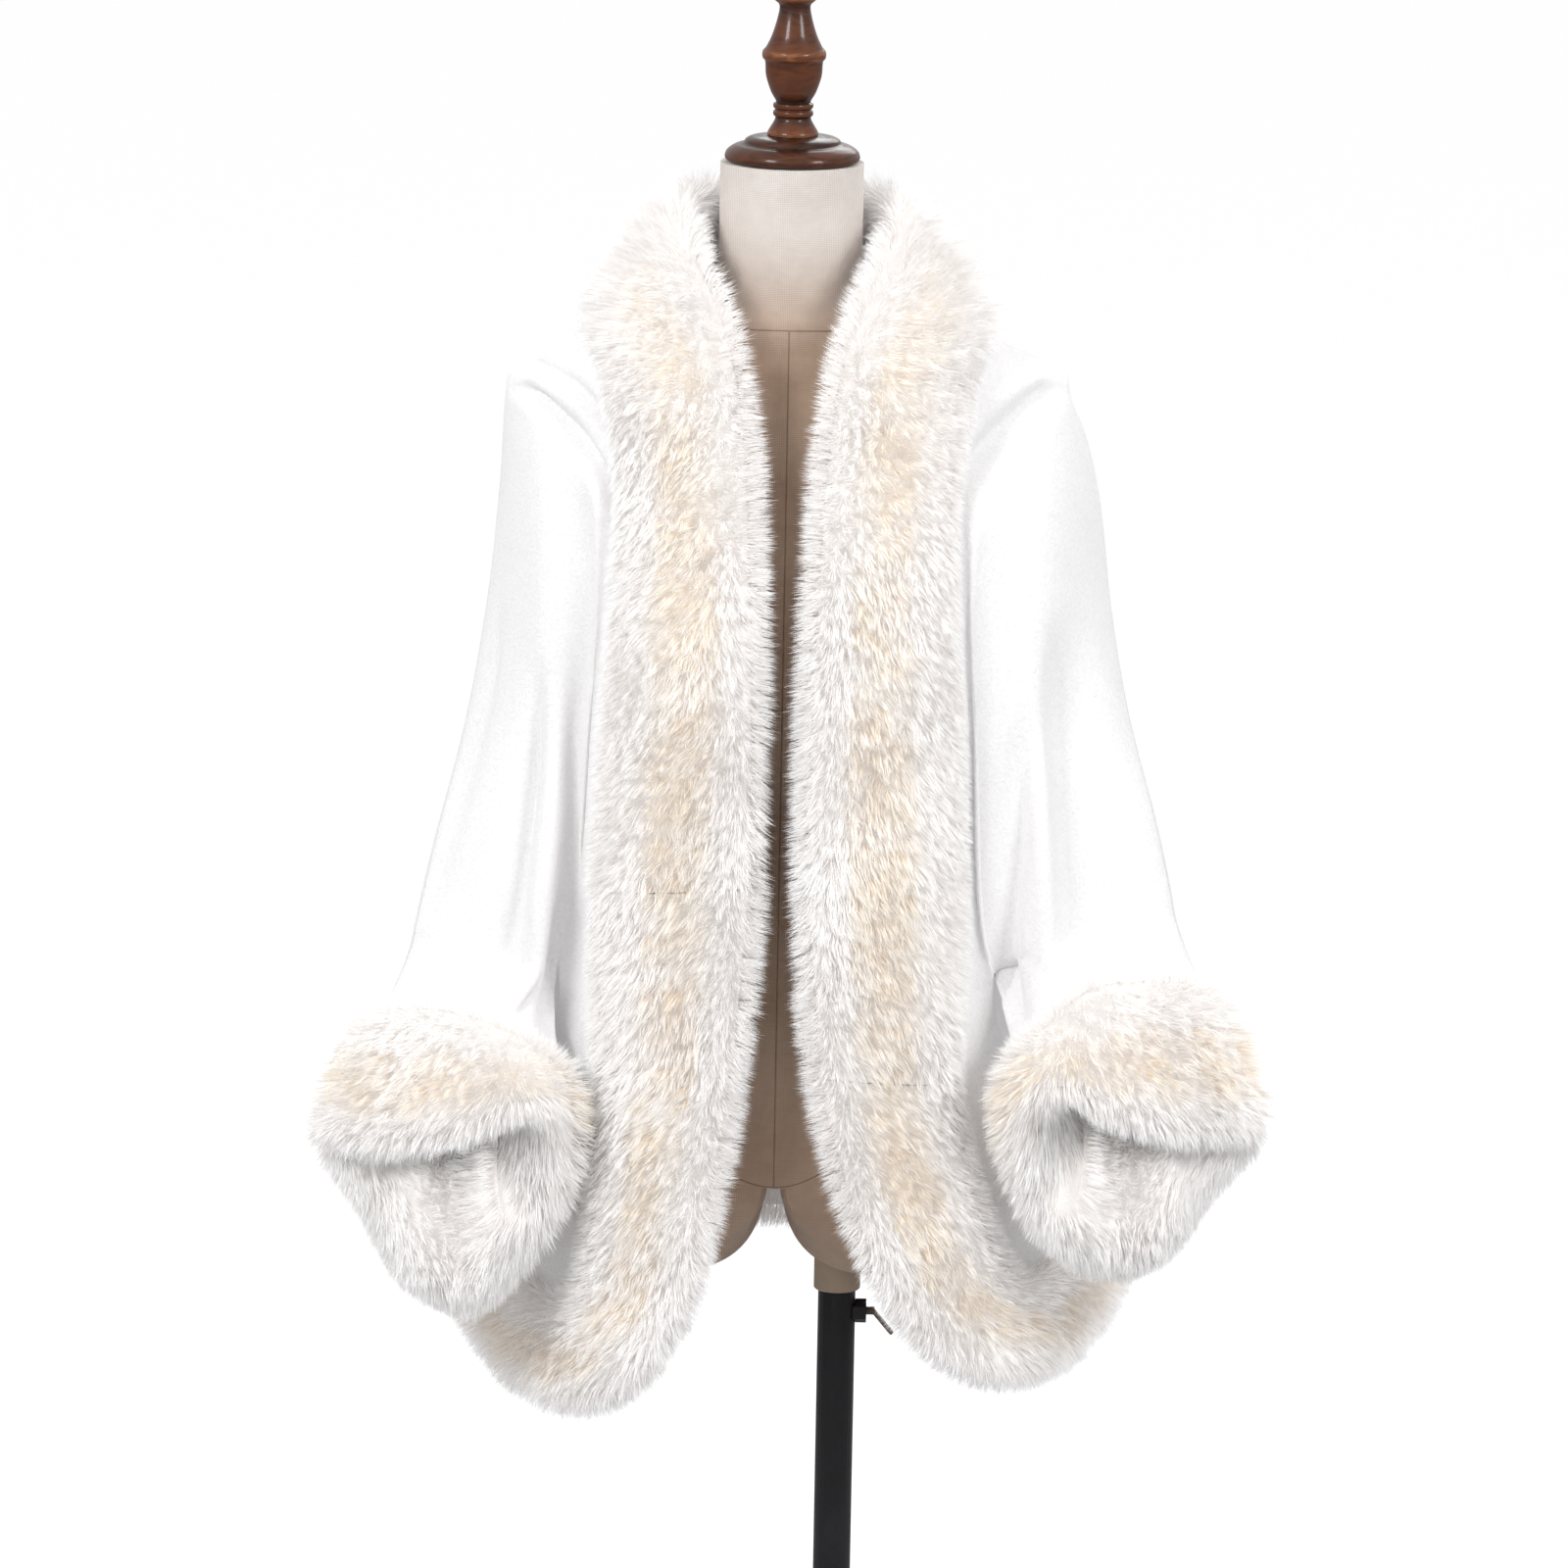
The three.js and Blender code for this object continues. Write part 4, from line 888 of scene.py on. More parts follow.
class Strip:
    """A band of fur between its seam and its free edge, with flattened round sections across it."""

    def __init__(self, curve, start, end, thickness, square=BORDER_SQUARENESS, closed=False, fullness=None,
                 inner_share=INNER_SHARE):
        self.curve, self.start, self.end, self.closed = curve, start, end, closed
        self.half_thickness = thickness / 2 - SKIN_DEPTH
        self.fullness = fullness or (lambda places: 0 * places)
        self.square, self.inner_share = square, inner_share
        places = np.linspace(start, end, 50)
        centre, _, outwards, _ = self.frame(places, 1)
        axis = centre.mean(0) if closed else np.zeros(3)
        self.sign = np.sign(((centre - axis)[:, :2] * outwards[:, :2]).sum())

    def frame(self, places, sign=None):
        """The band's middle, its direction across, its direction outwards and half its width."""
        sign = self.sign if sign is None else sign
        seam, edge = self.curve(places, "seam"), self.curve(places, "edge")
        step = 0.05
        ahead = sum(self.curve(places + step, line) - self.curve(places - step, line)
                    for line in ("seam", "edge"))
        across = unit(edge - seam)
        outwards = unit(np.cross(ahead, across)) * sign
        return (seam + edge) / 2, across, outwards, np.linalg.norm(edge - seam, axis=-1) / 2

    def skin(self, places, angles):
        """Points of the skin and the directions that it faces. Angle 0 is at the free edge."""
        centre, across, outwards, half_width = self.frame(places)
        u, v = superellipse(angles, self.square)
        wide = half_width - EDGE_MARGIN / 2
        full = self.fullness(places) / 2
        thick = self.half_thickness + full
        centre = centre - across * EDGE_MARGIN / 2 - outwards * full[:, None]
        points = centre + across * (u * wide)[:, None] + outwards * (v * thick)[:, None]
        power = self.square - 1
        slope_u = np.sign(u) * np.abs(u) ** power / wide
        slope_v = np.sign(v) * np.abs(v) ** power / thick
        return points, unit(across * slope_u[:, None] + outwards * slope_v[:, None])

    def grid(self, rows, columns):
        """The skin's points on a grid, shaped (rows, columns, 3), and the grid's places and angles."""
        places = np.linspace(self.start, self.end, rows)
        angles = np.arange(columns) * 2 * math.pi / columns
        place, angle = np.meshgrid(places, angles, indexing="ij")
        points, _ = self.skin(place.ravel(), angle.ravel())
        return points.reshape(rows, columns, 3), place, angle


def across_centre(centre, way):
    """A curve across the centre back: a place below zero is on the right half and one above on the left."""
    def curve(places, line):
        right = border("right", centre + way * np.abs(places), line)
        left = border("left", centre + way * np.abs(places), line)
        return np.where((places < 0)[:, None], right, left)
    return curve


def side_curve(side):
    """The border's curve on one side, for a strip that stays there."""
    return lambda places, line: border(side, places, line)


def cuff_curve(side):
    """The curve of one side's cuff."""
    return lambda places, line: cuff(side, places, line)


# %% [markdown]
# Hairs are scattered by drawing cells of a fine grid on the skin, each as likely as it is large. A hair sets
# off along one direction and ends along another, and turns evenly between them. So after half its length it
# has gone 3/8 of its length along the first and 1/8 along the second, and at its tip a half along each.

# %% Hairs
SCATTER_ROWS, SCATTER_COLUMNS = 240, 48
INNER_SINES = (-0.75, -0.1)  # of the angles between which the hairs thin out towards the form
EDGE_CROWDING = 1.5  # how many more hairs grow at the two edges
WAVES, WAVE_SPREAD, WAVE_SUM = 5, 2.2, 2.2  # of a drift: how many, how uneven, and what evens out their sum
DRIFT_SIZE = 50
SKIN_GIRTH = 4 * 52  # millimetres round the skin, near enough to lay out the locks
LOCK_BEND, LOCK_WANDER = 0.4, 0.3  # how far slow waves push the borders of the locks, in locks
MOST_COLUMNS = 1000  # more than the locks round any skin
LOCK_TILT, LOCK_TURN, HAIR_TURN = 0.15, 0.2, 0.15  # how unevenly the locks and the hairs stand
TILT_LOST, HOLD_LOST = 0.55, 0.85  # how much less the locks tilt and draw their hairs in at the two edges
DOWN_LEAN, DRIFT_LEAN = 0.35, 0.16
SET_OFF = {"facing": 0.5, "lean": 0.45, "spread": 0.1}  # what is added to the skin's own direction
FINISH = {"facing": 0.85, "lean": 1.3, "spread": 0.11}
LEAST_HOLD, MORE_HOLD, MIDDLE_HOLD = 0.1, 0.35, 0.3  # how far a lock draws its tips in, and its middles
GUARD_SHARE, GUARD_EXTRA = 0.05, 0.12  # the long outer hairs: how many, and how much longer
LENGTH_SPREAD, TRIM_BEGINS = 0.09, 0.4  # the trim begins at this cosine from the seam
NARROWEST, WIDEST = 0.7, 1.15
LONGWAYS_JITTER = 4  # millimetres by which a hair's place on the map is off along the strip
SHORTEST, LONGEST = 0.6, 1.2
KITE_HEIGHTS = [0.04, 0.5, 0.5, 0.96]  # of the root, the middle pair and the tip


def drift(points, size, sampler):
    """A smooth random direction at each point, with hills about a size across: a sum of sine waves."""
    total = np.zeros_like(points)
    for _ in range(WAVES):
        wave = sampler.normal(0, WAVE_SPREAD / size, (3, 3))
        total += np.sin(points @ wave + sampler.uniform(0, 2 * math.pi, 3))
    return total / WAVE_SUM


def scatter(strip, sampler):
    """Random places on the skin, even over its area but fewer next to the form and more at the two edges."""
    points, place, angle = strip.grid(SCATTER_ROWS, SCATTER_COLUMNS)
    turned = np.roll(points, -1, 1)
    a, b, c, d = points[:-1], turned[:-1], turned[1:], points[1:]
    area = np.linalg.norm(np.cross(c - a, d - b), axis=-1) / 2
    middle_angle = angle[:-1] + math.pi / SCATTER_COLUMNS
    share = mix(strip.inner_share, 1, ease(np.sin(middle_angle), *INNER_SINES))
    share = share * (1 + EDGE_CROWDING * np.cos(middle_angle) ** 4)
    weight = (area * share).ravel()
    count = int(weight.sum() * HAIRS_PER_CM2 / 100)
    cell = np.sort(sampler.choice(len(weight), count, p=weight / weight.sum()))
    row, column = np.divmod(cell, SCATTER_COLUMNS)
    places = place[row, 0] + sampler.random(count) * (place[1, 0] - place[0, 0])
    angles = (column + sampler.random(count)) * 2 * math.pi / SCATTER_COLUMNS
    length = np.linalg.norm(np.diff(strip.frame(place[:, 0])[0], axis=0), axis=-1).cumsum()
    run = np.interp(places, place[1:, 0], length)
    return places, angles, run


def find_locks(run, angles):
    """The lock of each hair and the number of hairs in each lock. The locks are laid over the skin like
    bricks, and slow waves bend their borders so that no straight row shows."""
    round_skin = angles / (2 * math.pi) * SKIN_GIRTH
    bend = np.sin(round_skin / 9) + np.sin(run / 3.1 + round_skin / 5.3)
    row = np.floor(run / LOCK_SIZE + LOCK_BEND * bend).astype(int)
    wander = LOCK_WANDER * np.sin(run / 4.7)
    column = np.floor(round_skin / LOCK_SIZE + 0.5 * (row % 2) + wander).astype(int)
    _, locks, count = np.unique(row * MOST_COLUMNS + column, return_inverse=True, return_counts=True)
    return locks, count


def gather(values, locks, count):
    """The mean of the values over each lock, for every hair in it."""
    sums = np.stack([np.bincount(locks, values[:, k], len(count)) for k in range(3)], -1)
    return (sums / count[:, None])[locks]


def grow_pile(name, strip, material, seed):
    """The hairs of a strip as one mesh. Each is a narrow kite: a root, a middle pair and a tip."""
    sampler = np.random.default_rng(seed)
    places, angles, run = scatter(strip, sampler)
    n = len(places)
    skin, normal = strip.skin(places, angles)
    down = np.array([0, 0, 1.0]) - normal * normal[:, 2:]
    locks, count = find_locks(run, angles)
    near_edge = np.cos(angles)[:, None] ** 4
    tilt = sampler.normal(0, LOCK_TILT, (len(count), 3))[locks] * (1 - TILT_LOST * near_edge)

    lean = down * DOWN_LEAN + drift(skin, DRIFT_SIZE, sampler) * DRIFT_LEAN + tilt
    turn = sampler.normal(0, LOCK_TURN, len(count))[locks] + sampler.normal(0, HAIR_TURN, n)
    _, facing = strip.skin(places, angles + turn)
    start = unit(normal + facing * SET_OFF["facing"] + lean * SET_OFF["lean"]
                 + sampler.normal(0, SET_OFF["spread"], (n, 3)))
    finish = unit(facing * FINISH["facing"] + lean * FINISH["lean"]
                  + sampler.normal(0, FINISH["spread"], (n, 3)))
    guard = sampler.random(n) < GUARD_SHARE
    uneven = sampler.normal(1, LENGTH_SPREAD, n).clip(SHORTEST, LONGEST)
    length = HAIR_LENGTH * (uneven + GUARD_EXTRA * guard)[:, None]
    length *= 1 - SEAM_TRIM * ease(-np.cos(angles), TRIM_BEGINS, 1)[:, None]
    root = skin - normal
    middle = root + length * (3 / 8 * start + 1 / 8 * finish)
    tip = root + length * (1 / 2 * start + 1 / 2 * finish)
    hold = sampler.random((n, 1)) * MORE_HOLD + LEAST_HOLD
    hold = hold * ~guard[:, None] * (1 - HOLD_LOST * near_edge)
    tip = mix(tip, gather(tip, locks, count), hold)
    middle = mix(middle, gather(middle, locks, count), hold * MIDDLE_HOLD)

    flat = unit(np.cross(finish, normal + 0.4 * down) + sampler.normal(0, 0.1, (n, 3)))
    width = (sampler.uniform(NARROWEST, WIDEST, n) * HAIR_WIDTH / 2)[:, None]
    points = np.stack([root, middle - flat * width, middle + flat * width, tip], 1).reshape(-1, 3)
    first = np.arange(n)[:, None] * 4
    faces = [first + [0, 1, 2], first + [2, 1, 3]]

    zone = np.floor(angles / (2 * math.pi) * ZONES)
    u = ((run + sampler.normal(0, LONGWAYS_JITTER, n)).clip(0) * 0.001)[:, None].repeat(4, 1)
    v = (zone[:, None] + KITE_HEIGHTS) / ZONES
    return make_piece(name, points, faces, material, "form", uv=np.stack([u, v], -1).reshape(-1, 2))


# %% Strips and their hairs
CUFF_FULLNESS = 36
CUFF_SWELL, CUFF_FADE = (-1.2, 0.3), (-1.6, -0.1)  # in rows, from the inner bend and from the ring's end
COLLAR_INNER_SHARE, CUFF_INNER_SHARE = 0.8, 0.9  # of the hairs, on sides that turn into view
WHITE_START, NECK_WHITE_START = 0.001, 0.15  # metres for the ochre to come in
FIRST_SEED = 11


def cuff_fullness(places):
    """How much plumper, in millimetres, the back of a cuff is on the inside, where it closes the opening."""
    back = ease(places, *(CUFF_INNER + row for row in CUFF_SWELL))
    back = back * (1 - ease(places, *(CUFF_ROWS + row for row in CUFF_FADE)))
    return CUFF_FULLNESS * back


hem_reach = HEM_CENTRE - CORNER_JOIN - JOIN
collar_reach = SHOULDER_STATION - JOIN
strips = {
    "fur_collar": Strip(across_centre(0, 1), -collar_reach, collar_reach, BORDER_THICKNESS,
                        inner_share=COLLAR_INNER_SHARE),
    "fur_hem": Strip(across_centre(HEM_CENTRE, -1), -hem_reach, hem_reach, BORDER_THICKNESS),
}
for side, about in SIDES.items():
    join = about["front_join"]
    strips["fur_front_upper_" + side] = Strip(
        side_curve(side), SHOULDER_STATION + JOIN, join - JOIN, BORDER_THICKNESS)
    strips["fur_front_lower_" + side] = Strip(
        side_curve(side), join + JOIN, CORNER_JOIN - JOIN, BORDER_THICKNESS)
    strips["fur_cuff_" + side] = Strip(
        cuff_curve(side), 0, CUFF_ROWS, CUFF_THICKNESS, CUFF_SQUARENESS, closed=True, fullness=cuff_fullness,
        inner_share=CUFF_INNER_SHARE)

# Places of deeper ochre on a strip: metres from its start, reach in metres, and strength.
STAINS = {
    "fur_front_upper_right": [(0.28, 0.13, 0.85)],
    "fur_front_lower_left": [(0.08, 0.12, 0.9)],
    "fur_front_upper_left": [(0.18, 0.09, 0.6), (0.50, 0.10, 0.9)],
    "fur_cuff_left": [(0.15, 0.05, 0.9)],
    "fur_cuff_right": [(0.25, 0.05, 0.8)],
}
hair_total = 0
for seed, (name, strip) in enumerate(strips.items()):
    grid, _, _ = strip.grid(SKIN_ROWS, SKIN_COLUMNS)
    rings = grid[:-1] if strip.closed else grid
    skin = make_piece(name + "_skin", *lofted(rings, strip.closed), hide, "form")
    finish_closed(skin, 60)
    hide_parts(name)
    white_start = NECK_WHITE_START if "upper" in name else WHITE_START
    hair = make_pile(name + "_hair", STAINS.get(name, ()), white_start)
    pile = grow_pile(name + "_pile", strip, hair, seed + FIRST_SEED)
    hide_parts(name)
    hair_total += len(pile.data.polygons) // 2
    print(name, "has", len(pile.data.polygons) // 2, "hairs of", len(pile.data.polygons), "triangles")
print("hairs in all:", hair_total)

# %% [markdown]
# ## The form
#
# The form is a torso of padded paper under fine linen, with one seam down the front and one round the chest.
# It is turned into a smooth skin through the table of level sections, much finer than the CAD model's.


# %% Materials of the form and the stand
CROTCH_DROP = 722.0
LEG_SEAM_CURVE = 10.0  # the seam round a thigh's end climbs outwards by this times the distance squared
LEG_SEAM_HEIGHT = NECK_RIM_Z - CROTCH_DROP * 0.001
CHEST_SEAM_HEIGHT = NECK_RIM_Z - 0.112
SEAM_LINE = (0.0002, 0.0009)  # metres from a seam to where its shade starts to fade and to where it ends
PEEL_DEPTH = 0.00005
COLLAR_SHADOW_HEIGHTS = (NECK_RIM_Z - 0.135, NECK_RIM_Z - 0.03)  # painted shadow of the collar and fur: tan below the first, pale above the second


def make_linen():
    """Fine, undyed linen drawn tight: a plain weave with thick and thin threads, and painted shade between
    them.
    Painted shadow makes it tan below the neck and pale above. One seam runs round the chest, one from it down
    the front, and one climbs outwards round each thigh's end."""
    material, tree, shader = new_material(
        "natural_linen", Roughness=0.92, Sheen_Weight=0.15, Specular_IOR_Level=0.2)
    place = add(tree, "TexCoord").outputs["Object"]
    threads = use(tree, weave, Vector=place, Threads_per_metre=800.0)
    cloudy = use(tree, blotches, Vector=place, Scale=18.0)
    part = add(tree, "SeparateXYZ", {0: place})
    # painted shadow of the collar and fur: the linen is tan below the neck and pale above
    shadowed_tan = mixed(tree, cloudy, (0.43, 0.305, 0.225), (0.50, 0.37, 0.28))
    pale = mixed(tree, cloudy, (0.72, 0.665, 0.625), (0.80, 0.75, 0.715))
    cloth = mixed(tree, between(tree, part.outputs["Z"], *COLLAR_SHADOW_HEIGHTS), shadowed_tan, pale)
    # painted shade between the threads of the weave
    weave_shade = mixed(tree, between(tree, threads, -0.4, 1.0), (0.80, 0.77, 0.74), (1, 1, 1))
    cloth = mixed(tree, 1.0, cloth, weave_shade, "MULTIPLY")
    aside = maths(tree, "ABSOLUTE", maths(tree, "SUBTRACT", part.outputs["X"], FORM_AXIS_X))
    climb = maths(tree, "MULTIPLY", maths(tree, "MULTIPLY", aside, aside), LEG_SEAM_CURVE)
    above = maths(tree, "SUBTRACT", part.outputs["Z"], climb)
    above = maths(tree, "ABSOLUTE", maths(tree, "SUBTRACT", above, LEG_SEAM_HEIGHT))
    off_front = maths(tree, "ADD", aside, between(tree, part.outputs["Y"], -0.01, 0.0, 0.0, 0.01))
    off_chest = maths(tree, "SUBTRACT", part.outputs["Z"], CHEST_SEAM_HEIGHT)
    off_front = maths(tree, "ADD", off_front, between(tree, off_chest, 0.0, 0.001, 0.0, 0.01))
    nearest = maths(tree, "MINIMUM", above, off_front)
    nearest = maths(tree, "MINIMUM", nearest, maths(tree, "ABSOLUTE", off_chest))
    seam = between(tree, nearest, *SEAM_LINE)
    shaded = mixed(tree, 1.0, cloth, (0.52, 0.48, 0.45), "MULTIPLY")
    tree.links.new(mixed(tree, seam, shaded, cloth), shader["Base Color"])
    raise_surface(tree, shader, maths(tree, "MULTIPLY", threads, seam), 0.0002)
    return material


def make_lacquered_wood():
    """Dark red-brown turned wood under gloss lacquer, with streaks of grain. Painted highlight makes the
    beads lighter and more orange, and painted shade makes the grooves nearly black. The lathe's point
    attribute runs from -1 in a groove to 1 on the top of the beads."""
    material, tree, shader = new_material(
        "lacquered_wood", Roughness=0.4, Coat_Weight=0.3, Coat_Roughness=0.12, Specular_IOR_Level=0.15)
    place = add(tree, "TexCoord").outputs["Object"]
    bead_light = add(tree, "Attribute", attribute_name="bead_light").outputs["Fac"]
    stretched = add(tree, "Mapping", {"Vector": place, "Scale": (12.0, 12.0, 45.0)}).outputs[0]
    streaks = {"Vector": stretched, "Scale": 2.2, "Detail": 5.0, "Distortion": 2.5}
    grain = add(tree, "TexNoise", streaks).outputs[0]
    grain_and_bead_light = maths(tree, "ADD", bead_light, between(tree, grain, 0.3, 0.7, -0.25, 0.25))
    # painted highlight lightens the beads towards orange, and painted shade darkens the grooves nearly to
    # black; the grain adds real streaks
    colour = mixed(tree, between(tree, grain_and_bead_light, -1.0, 0.4), (0.010, 0.0035, 0.002), (0.100, 0.030, 0.011))
    colour = mixed(tree, between(tree, grain_and_bead_light, 0.4, 1.4), colour, (0.30, 0.115, 0.045))
    tree.links.new(colour, shader["Base Color"])
    tree.links.new(between(tree, grain, 0.3, 0.7, 0.34, 0.48), shader["Roughness"])
    raise_surface(tree, shader, grain, 0.0001)
    return material


def make_painted(name, low, high, roughness, **constants):
    """A moulded or painted finish: slight orange peel, and a roughness that varies with handling."""
    material, tree, shader = new_material(name, **constants)
    place = add(tree, "TexCoord").outputs["Object"]
    cloudy = use(tree, blotches, Vector=place, Scale=30.0)
    peel = add(tree, "TexNoise", {"Vector": place, "Scale": 900.0, "Detail": 1.0}).outputs[0]
    tree.links.new(mixed(tree, cloudy, low, high), shader["Base Color"])
    tree.links.new(between(tree, cloudy, 0, 1, roughness, roughness + 0.12), shader["Roughness"])
    raise_surface(tree, shader, peel, PEEL_DEPTH)
    return material


linen, wood = make_linen(), make_lacquered_wood()
enamel = make_painted(
    "black_enamel", (0.004, 0.004, 0.005), (0.008, 0.008, 0.010), 0.42, Specular_IOR_Level=0.3)
beige = make_painted("beige_plastic", (0.34, 0.26, 0.19), (0.40, 0.31, 0.23), 0.5)
steel = make_painted("plated_steel", (0.40, 0.37, 0.34), (0.52, 0.48, 0.44), 0.28, Metallic=1.0)
bronze = make_painted("browned_steel", (0.075, 0.052, 0.040), (0.13, 0.095, 0.07), 0.42, Metallic=0.8)

# %% Torso and thigh ends
THIGH_END_DROP = 800
SEAM_GAP = 0.3
HALF_GAP = 4.5  # from the middle to each thigh, at the crotch
DOME_TURN, DOME_POWER = 0.47 * math.pi, 0.52  # a thigh's end: how far its curve goes, and how square it is
THIGH_WIDTH, THIGH_DEPTH = 0.97, 0.92  # the oval's share of the half section
THIGH_SPLAY = 4
above_crotch, below_crotch = TORSO["drop"][-2:]
CROTCH_ROW = len(TORSO["drop"]) - 2 + (CROTCH_DROP - above_crotch) / (below_crotch - above_crotch)
CROTCH = {name: float(along(values, np.array([CROTCH_ROW]))[0]) for name, values in TORSO.items()}


def torso_rings(rows, columns):
    """Level sections through the table, down to the crotch."""
    row = np.linspace(0, CROTCH_ROW, rows)[:, None]
    angle = np.arange(columns)[None, :] * 2 * math.pi / columns
    at = {name: along(values, row) for name, values in TORSO.items()}
    u, v = superellipse(angle, at["square"])
    depth = np.where(v < 0, at["front"], at["back"])
    return np.stack([at["half_width"] * u, depth * v, at["drop"] + 0 * u], -1)


def half_section(turn):
    """Distances, from the middle of the right or left half of the torso's lowest section, to its outline and
    to the plane between the thighs. Each is found by halving a bracket 40 times."""
    middle = CROTCH["half_width"] / 2
    depth = np.where(np.sin(turn) < 0, CROTCH["front"], CROTCH["back"])
    near, far = np.zeros_like(turn), np.full_like(turn, 2 * CROTCH["half_width"])
    for _ in range(40):
        reach = (near + far) / 2
        x, y = middle + reach * np.cos(turn), reach * np.sin(turn)
        inside = abs(x / CROTCH["half_width"]) ** CROTCH["square"] + abs(y / depth) ** CROTCH["square"] < 1
        inside &= x > HALF_GAP
        near, far = np.where(inside, reach, near), np.where(inside, far, reach)
    return near


def thigh_rings(sign, rows, columns):
    """Level rings from half of the torso's section, at the crotch, to an oval that shrinks along a quarter of
    a rounded curve."""
    middle = CROTCH["half_width"] / 2
    angle = np.linspace(0, DOME_TURN, rows)[:, None]
    size = np.cos(angle) ** DOME_POWER
    turn = np.arange(columns)[None, :] * 2 * math.pi / columns
    depth = np.where(np.sin(turn) < 0, CROTCH["front"], CROTCH["back"]) * THIGH_DEPTH
    oval = 1 / np.sqrt((np.cos(turn) / (middle * THIGH_WIDTH)) ** 2 + (np.sin(turn) / depth) ** 2)
    reach = mix(half_section(turn) - SEAM_GAP, oval, ease(angle, 0, 0.9)) * size
    x = sign * (middle + reach * np.cos(turn) + (1 - size) * THIGH_SPLAY)
    height = THIGH_END_DROP - CROTCH_DROP - SEAM_GAP
    drop = CROTCH_DROP + SEAM_GAP + height * np.sin(angle) / math.sin(DOME_TURN)
    return np.stack([x, reach * np.sin(turn), drop + 0 * x], -1)


def make_form(name, rings, replaced):
    """A linen-covered piece of the form, from its rings."""
    piece = make_piece(name, *lofted(rings), linen, "form")
    finish_closed(piece)
    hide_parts(replaced)


make_form("linen_torso", torso_rings(110, 96), "form_torso")
make_form("linen_thigh_right", thigh_rings(-1, 40, 96), "form_thigh_right")
make_form("linen_thigh_left", thigh_rings(1, 40, 96), "form_thigh_left")

# %% [markdown]
# ## Turned pieces
#
# Neck cap, finial, socket, rod, collar and base all come from a lathe or are tubes. Each is a
# profile of radius and height, turned about its own upright. The stand's tube, the clamp's boss and its screw
# keep their CAD shapes and get new materials.

# %% Turned pieces
NECK_RIM_HEIGHT = 1400
POLE_OFFSET = 47
# Profiles are pairs of radius and height above the neck's rim.
CAP = [
    [0, 0.3], [44.5, 0.3], [47.3, 2.2], [47.7, 5], [46, 8.5], [41, 11.8],
    [36.5, 13], [34.5, 14], [33, 16.2], [29, 18], [21, 19], [0, 19],
]
FINIAL = [
    [0, 19.3], [18, 19.3], [17.6, 22], [13.5, 29], [12.6, 32], [14, 33.5], [14, 36], [12.8, 37.5],
    [14, 39], [14, 41.5], [12.2, 43], [16, 50], [19.6, 61], [20.4, 71], [22.3, 74], [22.3, 78.5],
    [19.6, 82], [15.5, 91], [12, 103], [11, 111], [14.6, 115], [14.8, 119.5], [11, 124], [15, 133],
    [17.5, 143], [15.5, 153], [9, 160], [0, 162],
]
TUBE_RADIUS, ROD_RADIUS, ROD_LENGTH = 13.5, 10.4, 400
SOCKET_RADIUS, SOCKET_TOP_DROP, SOCKET_END_DROP = 16.8, 772, 817.5
COLLAR_RADIUS, COLLAR_HEIGHT = 24, 34
BASE_RADIUS, BASE_THICKNESS = 180, 10
LATHE_SEGMENTS = 72
BEAD_REACH, BEAD_HEIGHT = 9.0, 2.4


def softened(profile, steps=5):
    """The profile with its corners rounded, from a smooth curve through its points but the first and last."""
    inner = np.array(profile[1:-1], float)
    curve = along(inner, np.linspace(0, len(inner) - 1, (len(inner) - 1) * steps + 1))
    return [profile[0], *curve.tolist(), profile[-1]]


def turn_piece(name, profile, material, replaced, body="form", x=0.0, closed=False,
               segments=LATHE_SEGMENTS):
    """A lathe piece about the upright at x, from pairs of radius and height above the neck's rim."""
    radius, height = np.array(profile if closed else profile[1:-1], float).T
    angle = np.arange(segments)[None, :] * 2 * math.pi / segments
    rings = np.stack([x + radius[:, None] * np.cos(angle), radius[:, None] * np.sin(angle),
                      -height[:, None] + 0 * angle], -1)
    piece = make_piece(name, *lofted(rings, closed), material, body)
    finish_closed(piece, 30)
    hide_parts(replaced)
    return piece


def paint_bead_light(piece, profile, strength, lift=0.0):
    """Stores how far each ring stands out from the profile's own average over a few millimetres, times a
    strength, which the wood turns into painted highlight and painted shade. A negative lift darkens the whole
    piece."""
    radius, height = np.array(profile[1:-1], float).T
    run = np.hypot(np.diff(radius, prepend=radius[0]), np.diff(height, prepend=height[0])).cumsum()
    weight = np.exp(-(((run[:, None] - run) / BEAD_REACH) ** 2)) * np.gradient(run)
    bead_light = (radius - weight @ radius / weight.sum(1)) / BEAD_HEIGHT
    values = np.concatenate([strength * bead_light.clip(-1, 1).repeat(LATHE_SEGMENTS) + lift, [lift, lift]])
    piece.data.attributes.new("bead_light", "FLOAT", "POINT").data.foreach_set("value", values.astype(np.float32))


def tube(inner, outer, top, bottom, bevel):
    """The closed profile of a hollow upright cylinder with rounded rims."""
    return [[inner, bottom], [outer - bevel, bottom], [outer, bottom + bevel], [outer, top - bevel],
            [outer - bevel, top], [inner, top]]


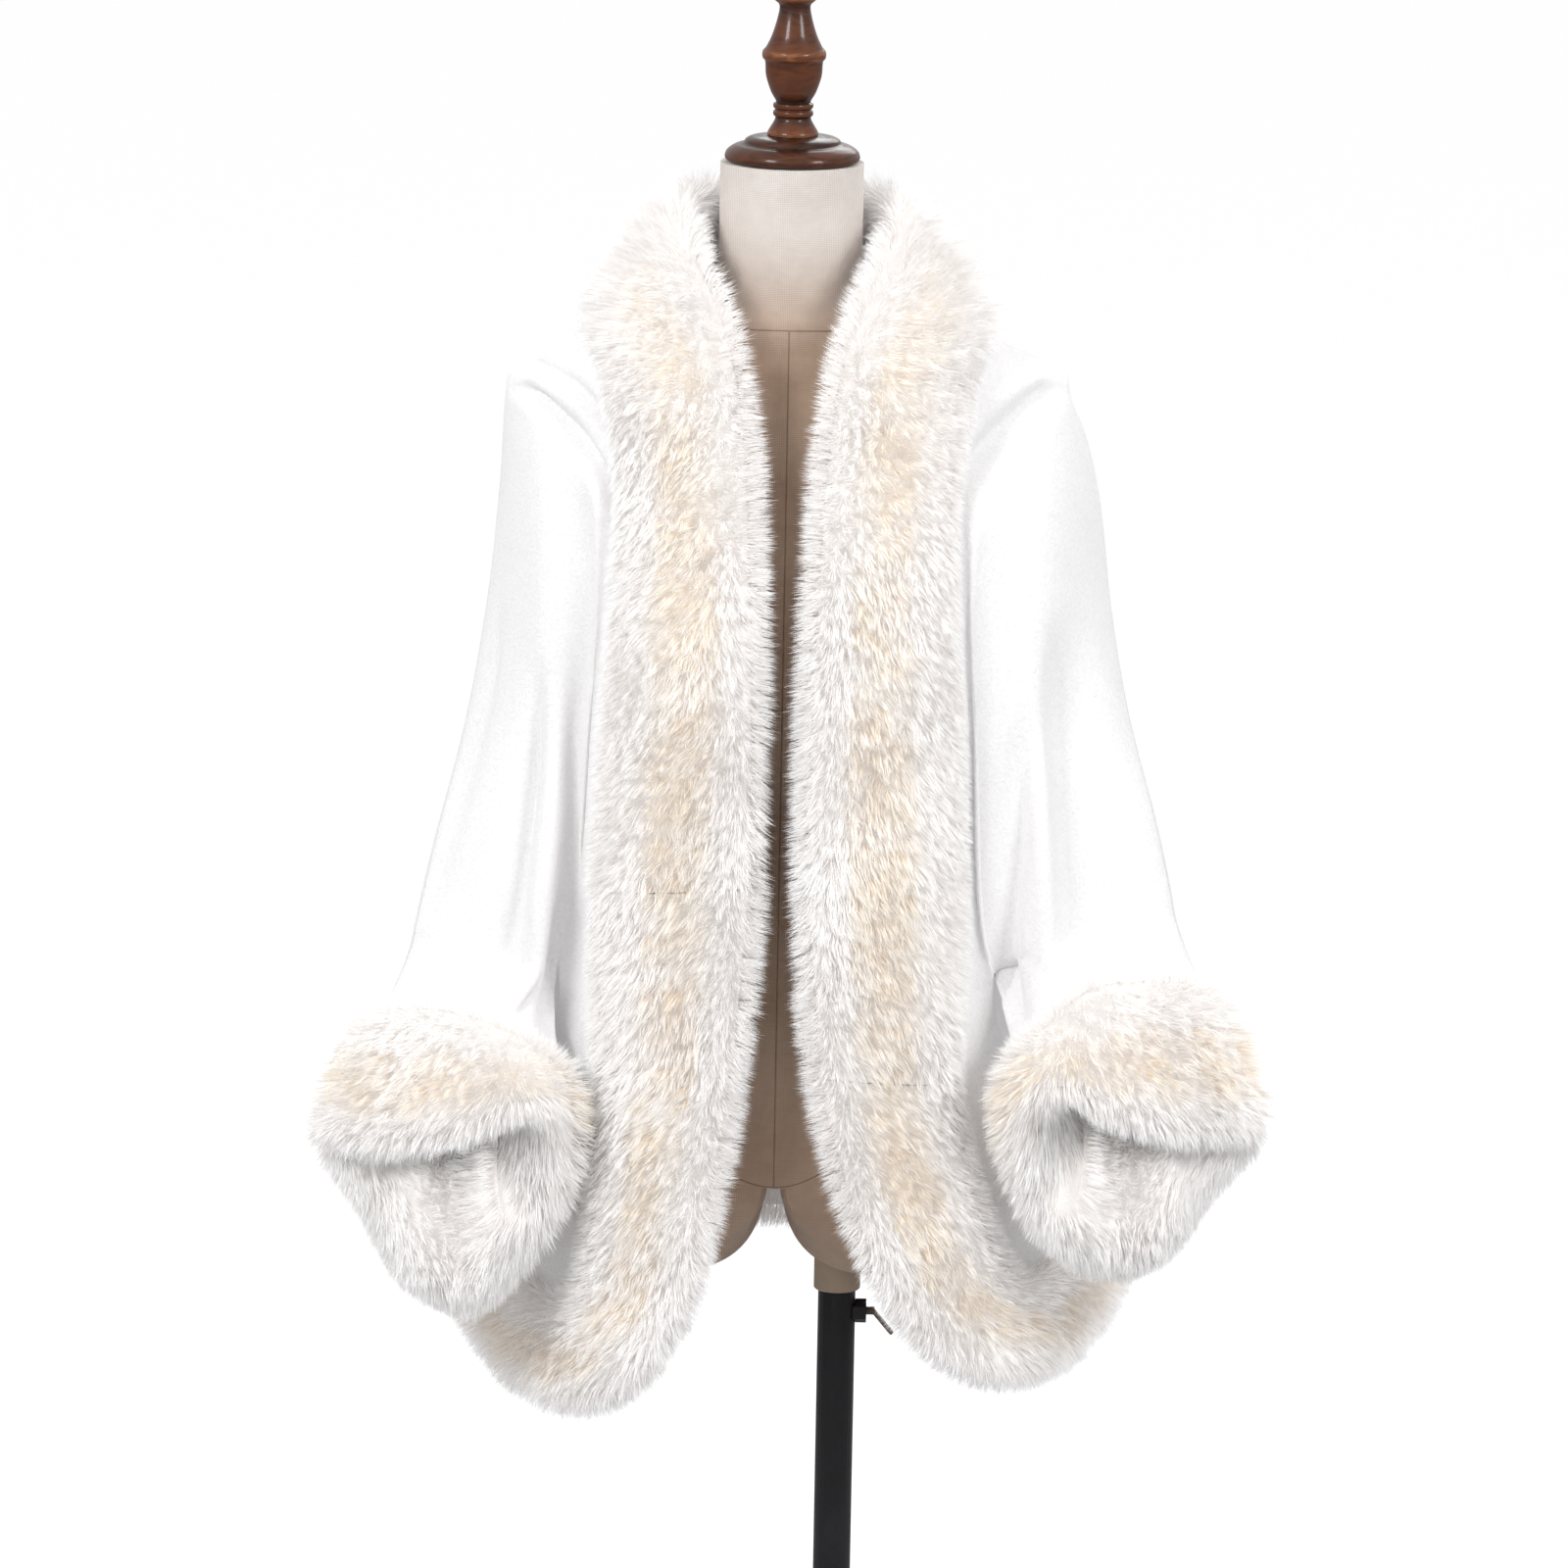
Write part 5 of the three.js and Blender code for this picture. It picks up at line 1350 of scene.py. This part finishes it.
def rod(radius, top, bottom):
    """The profile of a solid upright cylinder, from the axis and back to it."""
    return [[0, bottom], [radius, bottom], [radius, top], [0, top]]


floor_height = -NECK_RIM_HEIGHT
rod_top = -(THIGH_END_DROP + SEAM_GAP)
plate_top = floor_height + BASE_THICKNESS
cap, finial = softened(CAP), softened(FINIAL)
paint_bead_light(turn_piece("wood_neck_cap", cap, wood, "neck_cap"), cap, 0.35, -0.5)
paint_bead_light(turn_piece("wood_finial", finial, wood, "finial"), finial, 1.0)
turn_piece(
    "socket_ring", tube(ROD_RADIUS + SEAM_GAP, SOCKET_RADIUS, -SOCKET_TOP_DROP, -SOCKET_END_DROP, 1.0),
    beige, "pole_socket", x=POLE_OFFSET, closed=True)
turn_piece("steel_rod", rod(ROD_RADIUS, rod_top, rod_top - ROD_LENGTH), steel, "pole_rod",
           x=POLE_OFFSET)
collar_top = floor_height + COLLAR_HEIGHT
turn_piece("collar_ring", tube(TUBE_RADIUS + SEAM_GAP, COLLAR_RADIUS, collar_top, plate_top + SEAM_GAP, 3),
           enamel, "base_collar", "stand", x=POLE_OFFSET, closed=True)
base = [[0, floor_height], [BASE_RADIUS, floor_height], [BASE_RADIUS, floor_height + 6],
        [BASE_RADIUS - 1.2, floor_height + 8.8], [BASE_RADIUS - 4, plate_top], [0, plate_top]]
turn_piece("round_base", base, enamel, "base_plate", "stand", x=POLE_OFFSET, segments=144)
for node, material in (("stand_tube", enamel), ("clamp_boss", enamel), ("clamp_screw", bronze)):
    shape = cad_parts[node]
    shape.data.materials.clear()
    shape.data.materials.append(material)

# %% [markdown]
# ## Sizes of the panels
#
# A table holds the size of the cloth that each panel is cut from: its widest and its longest run along the
# surface, with the body and the sleeve side by side, and its area with the folds in it.

# %% Sizes of the panels' cloth
CUTS = {
    "front_right": {"size": (0.31, 0.77), "area": 0.0955},
    "front_left": {"size": (0.33, 0.75), "area": 0.0964},
    "back": {"size": (1.07, 0.75), "area": 0.431},
}
for panel, flat in CUTS.items():
    piece = cloth_pieces[panel]
